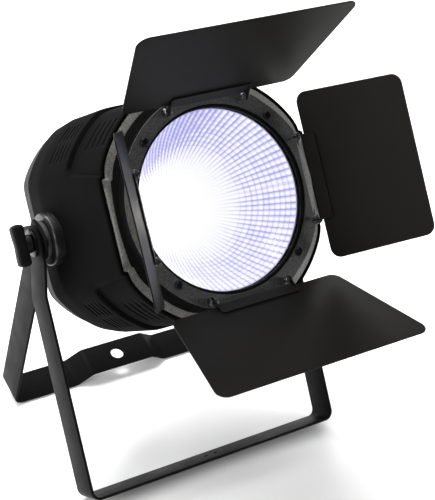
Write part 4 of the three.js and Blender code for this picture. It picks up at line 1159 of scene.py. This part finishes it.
def knob_wing(side):
    """The wing: a rounded bar along the head's up axis, waisted at the hub and full at its two ends.

    Each section is a superellipse whose size follows the place along the bar, and the ends close in a dome.
    """
    place = on_stack(side)
    along = np.sin(np.linspace(-np.pi / 2, np.pi / 2, 41))
    cap = np.clip(1 - np.clip((np.abs(along) - 0.8) / 0.2, 0, 1) ** 2.4, 0, 1) ** 0.5
    waist = 1 - 0.10 * np.cos(along * np.pi / 2) ** 6
    theta = np.linspace(0, 2 * np.pi, 40, endpoint=False)
    power = 2 / 4.5
    shape_x = np.sign(np.cos(theta)) * np.abs(np.cos(theta)) ** power
    shape_y = np.sign(np.sin(theta)) * np.abs(np.sin(theta)) ** power
    size = np.maximum(cap * waist, 0.02)[:, None]
    depth = wing_root + WING_HALF + WING_HALF * size * shape_x[None, :]
    width = WING_HALF * size * shape_y[None, :]
    length = np.broadcast_to(WING_LENGTH * along[:, None], depth.shape)
    return outward(skin("wing", place(np.stack([width, depth, length], -1))))


def knob(side):
    """A moulded knob: a round hub, the wing, and the stud."""
    place = on_stack(side)
    hub = [(0, knob_face), (KNOB_HUB_R - 0.6, knob_face), (KNOB_HUB_R, knob_face + 0.6),
           (KNOB_HUB_R, wing_root), (KNOB_HUB_R - 0.8, wing_root + 1.6), (0, wing_root + 1.6)]
    stud = [(0, BOSS_FACE - 13), (STUD_R - 0.5, BOSS_FACE - 13), (STUD_R, BOSS_FACE - 12.5),
            (STUD_R, knob_face + 2), (0, knob_face + 2)]
    return [lathe("hub", hub, 48, place), knob_wing(side), lathe("stud", stud, 24, place)]


washer_zinc = plain_finish("washer_zinc", (0.016, 0.016, 0.017), 0.3, 1.0, 1500, 0.15)
for side, name in ((1, "right"), (-1, "left")):
    pad = ring_profile(PAD_R, STUD_R + GAP, BOSS_FACE + GAP, PAD_T, 0.8)
    inner_washer = ring_profile(WASHER_R, STUD_R + GAP, rear_outer + GAP, WASHER_T, 0.3)
    outer_washer = ring_profile(KNOB_WASHER_R, STUD_R + GAP, front_outer + GAP, WASHER_T, 0.3)
    place = on_stack(side)
    piece(f"{name}_rubber_pad", lathe("pad", pad, 64, place), rubber_black, "head", "rubber_black",
          f"{name}_friction_pad")
    piece(f"{name}_flat_washer", lathe("washer", inner_washer, 64, place), washer_zinc, "front_stand", "steel",
          f"{name}_washer")
    piece(f"{name}_knob_flat_washer", lathe("washer", outer_washer, 64, place), washer_zinc, f"{name}_clamp",
          "steel", f"{name}_knob_washer")
    piece(f"{name}_wing_knob", together("knob", *knob(side)), hard_black, f"{name}_clamp", "housing_plastic",
          f"{name}_knob", sharp=40)

# ---- Back panel --------------------------------------------------------------------------------------------
# The panel's fittings: a dark display pane, four rubber buttons, two mains sockets, two round data
# sockets, a fuse holder and a steel eye for a safety cable. All but the eye go through openings of their own.
SOCKET_T = 2.0
EYE = dict(z=PANEL_Z - 18.0, half=11.0, rod=2.2, reach=14.0, plate=6.0, thick=2.5)
panel_inside = back_face - WALL - GAP
panel_foot = back_face + GAP
socket_mouth = back_face + GAP + SOCKET_T


def levelled(name, x, z, half_x, half_z, corner, levels):
    """A stack of rounded rectangles about (x, z), each (inset_x, inset_z, y) inside the first.

    The outline is four quarter circles of radius `corner`, less the smaller inset, on the corners' centres.
    """
    angle, side_x, side_z = four_arcs(6)
    rings = []
    for inset_x, inset_z, y in levels:
        radius = max(0.3, corner - max(0.0, min(inset_x, inset_z)))
        along = side_x * (half_x - inset_x - radius) + radius * np.cos(angle)
        up = side_z * (half_z - inset_z - radius) + radius * np.sin(angle)
        rings.append(np.stack([x + along, np.full_like(along, y), z + up], -1))
    return outward(skin(name, on_head(np.array(rings))))


screen_black = moulded_plastic("screen_black", (0.004, 0.005, 0.006), 0.12)
window = levelled("window", 0, WINDOW["z"], WINDOW["half_x"] + 3, WINDOW["half_z"] + 3, 3, [
    (0, 0, panel_inside - 2), (0, 0, panel_inside), (3, 3, panel_inside), (3, 3, back_face + 0.4),
    (3.2, 3.2, back_face + 0.6), (4.6, 4.6, back_face + 0.6), (5.0, 5.0, back_face + 0.1)])
piece("display_pane", window, screen_black, "head", "display_dark", "display_window", sharp=30)

for number, x in enumerate(BUTTON_X, start=1):
    crown = back_face + 2.0
    profile = [(0, panel_inside - 1.5), (6.3, panel_inside - 1.5), (6.3, panel_inside), (5.0, panel_inside),
               (5.0, crown - 0.9), (4.1, crown - 0.1), (2.6, crown), (1.6, crown - 0.25), (0, crown - 0.35)]
    piece(f"rubber_button_{number}", disc("button", x, BUTTON["z"], eased(profile, 0.35), 40), rubber_black,
          f"button_{number}", "rubber_black", f"menu_button_{number}")


def mains_socket(side):
    """A flange, a body through the panel, and a deep pocket with three blades."""
    x, z, half_x, half_z = side * POWER["x"], POWER["z"], POWER["half_x"], POWER["half_z"]
    floor_y = socket_mouth - 12
    shell = levelled("socket", x, z, half_x + 5, half_z + 2, 3, [
        (5, 2, floor_y - WALL), (5, 2, panel_foot), (0, 0, panel_foot), (0, 0, socket_mouth - 0.6),
        (0.6, 0.6, socket_mouth), (6.4, 3.4, socket_mouth), (7, 4, socket_mouth - 0.6), (7, 4, floor_y)])
    made = [shell]
    if side > 0:
        for at, rise in ((-7, 0), (0, 2), (7, 0)):
            made.append(block("blade", (x + at - 1, floor_y - 0.5, z + rise - 2.4),
                              (x + at + 1, socket_mouth - 3, z + rise + 2.4)))
    else:
        core = block("core", (x - 9.5, floor_y - 0.5, z - 5.5), (x + 9.5, socket_mouth - 2, z + 5.5), corner=2)
        slots = [block("slot", (x + at - 1.1, floor_y + 2, z - 2.6), (x + at + 1.1, socket_mouth, z + 2.6))
                 for at in (-5.5, 0, 5.5)]
        made.append(carved(core, slots, "core"))
    return together("mains_socket", *made)


def data_socket(side):
    """A steel flange with a round barrel, and an insert with three contacts or their three holes."""
    x, z, radius = side * SIGNAL["x"], SIGNAL["z"], SIGNAL["radius"]
    floor_y = socket_mouth - 10
    barrel = [(8.5, floor_y), (8.5, socket_mouth + 0.02), (8.9, socket_mouth + 0.3), (9.9, socket_mouth + 0.3),
              (10.4, socket_mouth - 0.2), (radius, socket_mouth - 0.4), (radius, floor_y - WALL),
              (0, floor_y - WALL), (0, floor_y)]
    barrel = disc("barrel", x, z, barrel, 48)
    flange = levelled("flange", x, z, radius + 1.5, radius + 2, 2.5, [
        (0, 0, panel_foot), (0, 0, socket_mouth - 0.5), (0.4, 0.4, socket_mouth - 0.1)])
    bore = disc("bore", x, z, rod(9.6, panel_foot - 2, socket_mouth + 2), 48)
    made = [barrel, carved(flange, [bore], "flange")]
    contacts = [(x + 4.2 * math.cos(t), z + 4.2 * math.sin(t)) for t in np.radians([-90, 30, 150])]
    if side > 0:
        pin = [(0, floor_y - 0.5), (1.1, floor_y - 0.5), (1.1, socket_mouth - 3), (0.6, socket_mouth - 2.4),
               (0, socket_mouth - 2.4)]
        made += [disc("pin", *contact, pin, 12) for contact in contacts]
    else:
        insert = disc("insert", x, z, rod(7.6, floor_y - 0.5, socket_mouth - 1.2), 40)
        holes = [disc("hole", *contact, rod(1.3, floor_y + 1, socket_mouth + 1), 12) for contact in contacts]
        made.append(carved(insert, holes, "insert"))
    return together("data_socket", *made)


for side, way, node in ((1, "in", "power_inlet"), (-1, "out", "power_outlet")):
    piece(f"mains_socket_{way}", mains_socket(side), hard_black, "head", "hard_black", node, sharp=30)
    piece(f"data_socket_{way}", data_socket(side), washer_zinc, "head", "steel", f"signal_{way}", sharp=30)

fuse_top = back_face + 4.5
fuse_profile = [(0, back_face - 16), (5, back_face - 16), (5, panel_foot), (7, panel_foot), (7, fuse_top - 1.2),
                (6.2, fuse_top - 0.2), (5.4, fuse_top), (0, fuse_top)]
fuse_slot = block("slot", (-4, fuse_top - 1.2, FUSE["z"] - 0.7), (4, fuse_top + 1, FUSE["z"] + 0.7))
fuse = carved(disc("fuse", 0, FUSE["z"], eased(fuse_profile, 0.3), 40), [fuse_slot], "fuse")
piece("fuse_holder_cap", fuse, hard_black, "head", "hard_black", "fuse_cap", sharp=30)


def eye_loop():
    """The eye's rod: a circle carried along two straight legs joined by a cubic arch, and its plate."""
    shoulder, crown = panel_foot + EYE["reach"] - EYE["half"], panel_foot + EYE["reach"] + 3.6
    t = np.linspace(0, 1, 33)[:, None]
    ends = [np.array([(x, y)]) for x, y in ((-EYE["half"], shoulder), (-EYE["half"], crown),
                                            (EYE["half"], crown), (EYE["half"], shoulder))]
    arch = ((1 - t) ** 3 * ends[0] + 3 * (1 - t) ** 2 * t * ends[1] + 3 * (1 - t) * t ** 2 * ends[2]
            + t ** 3 * ends[3])
    line = np.concatenate([[(-EYE["half"], panel_foot + 1)], arch, [(EYE["half"], panel_foot + 1)]])
    ahead = np.gradient(line, axis=0)
    ahead = ahead / np.linalg.norm(ahead, axis=1)[:, None]
    angle = np.linspace(0, 2 * np.pi, 20, endpoint=False)[None, :]
    x = line[:, :1] - ahead[:, 1:] * EYE["rod"] * np.cos(angle)
    y = line[:, 1:] + ahead[:, :1] * EYE["rod"] * np.cos(angle)
    z = EYE["z"] + np.broadcast_to(EYE["rod"] * np.sin(angle), x.shape)
    return outward(skin("loop", on_head(np.stack([x, y, z], -1))))


eye_plate = levelled("plate", 0, EYE["z"], EYE["half"] + EYE["plate"], EYE["plate"], 2, [
    (0, 0, panel_foot), (0, 0, panel_foot + EYE["thick"] - 0.4), (0.4, 0.4, panel_foot + EYE["thick"])])
piece("safety_cable_eye", together("eye", eye_loop(), eye_plate), washer_zinc, "head", "steel", "safety_eye",
      sharp=30)
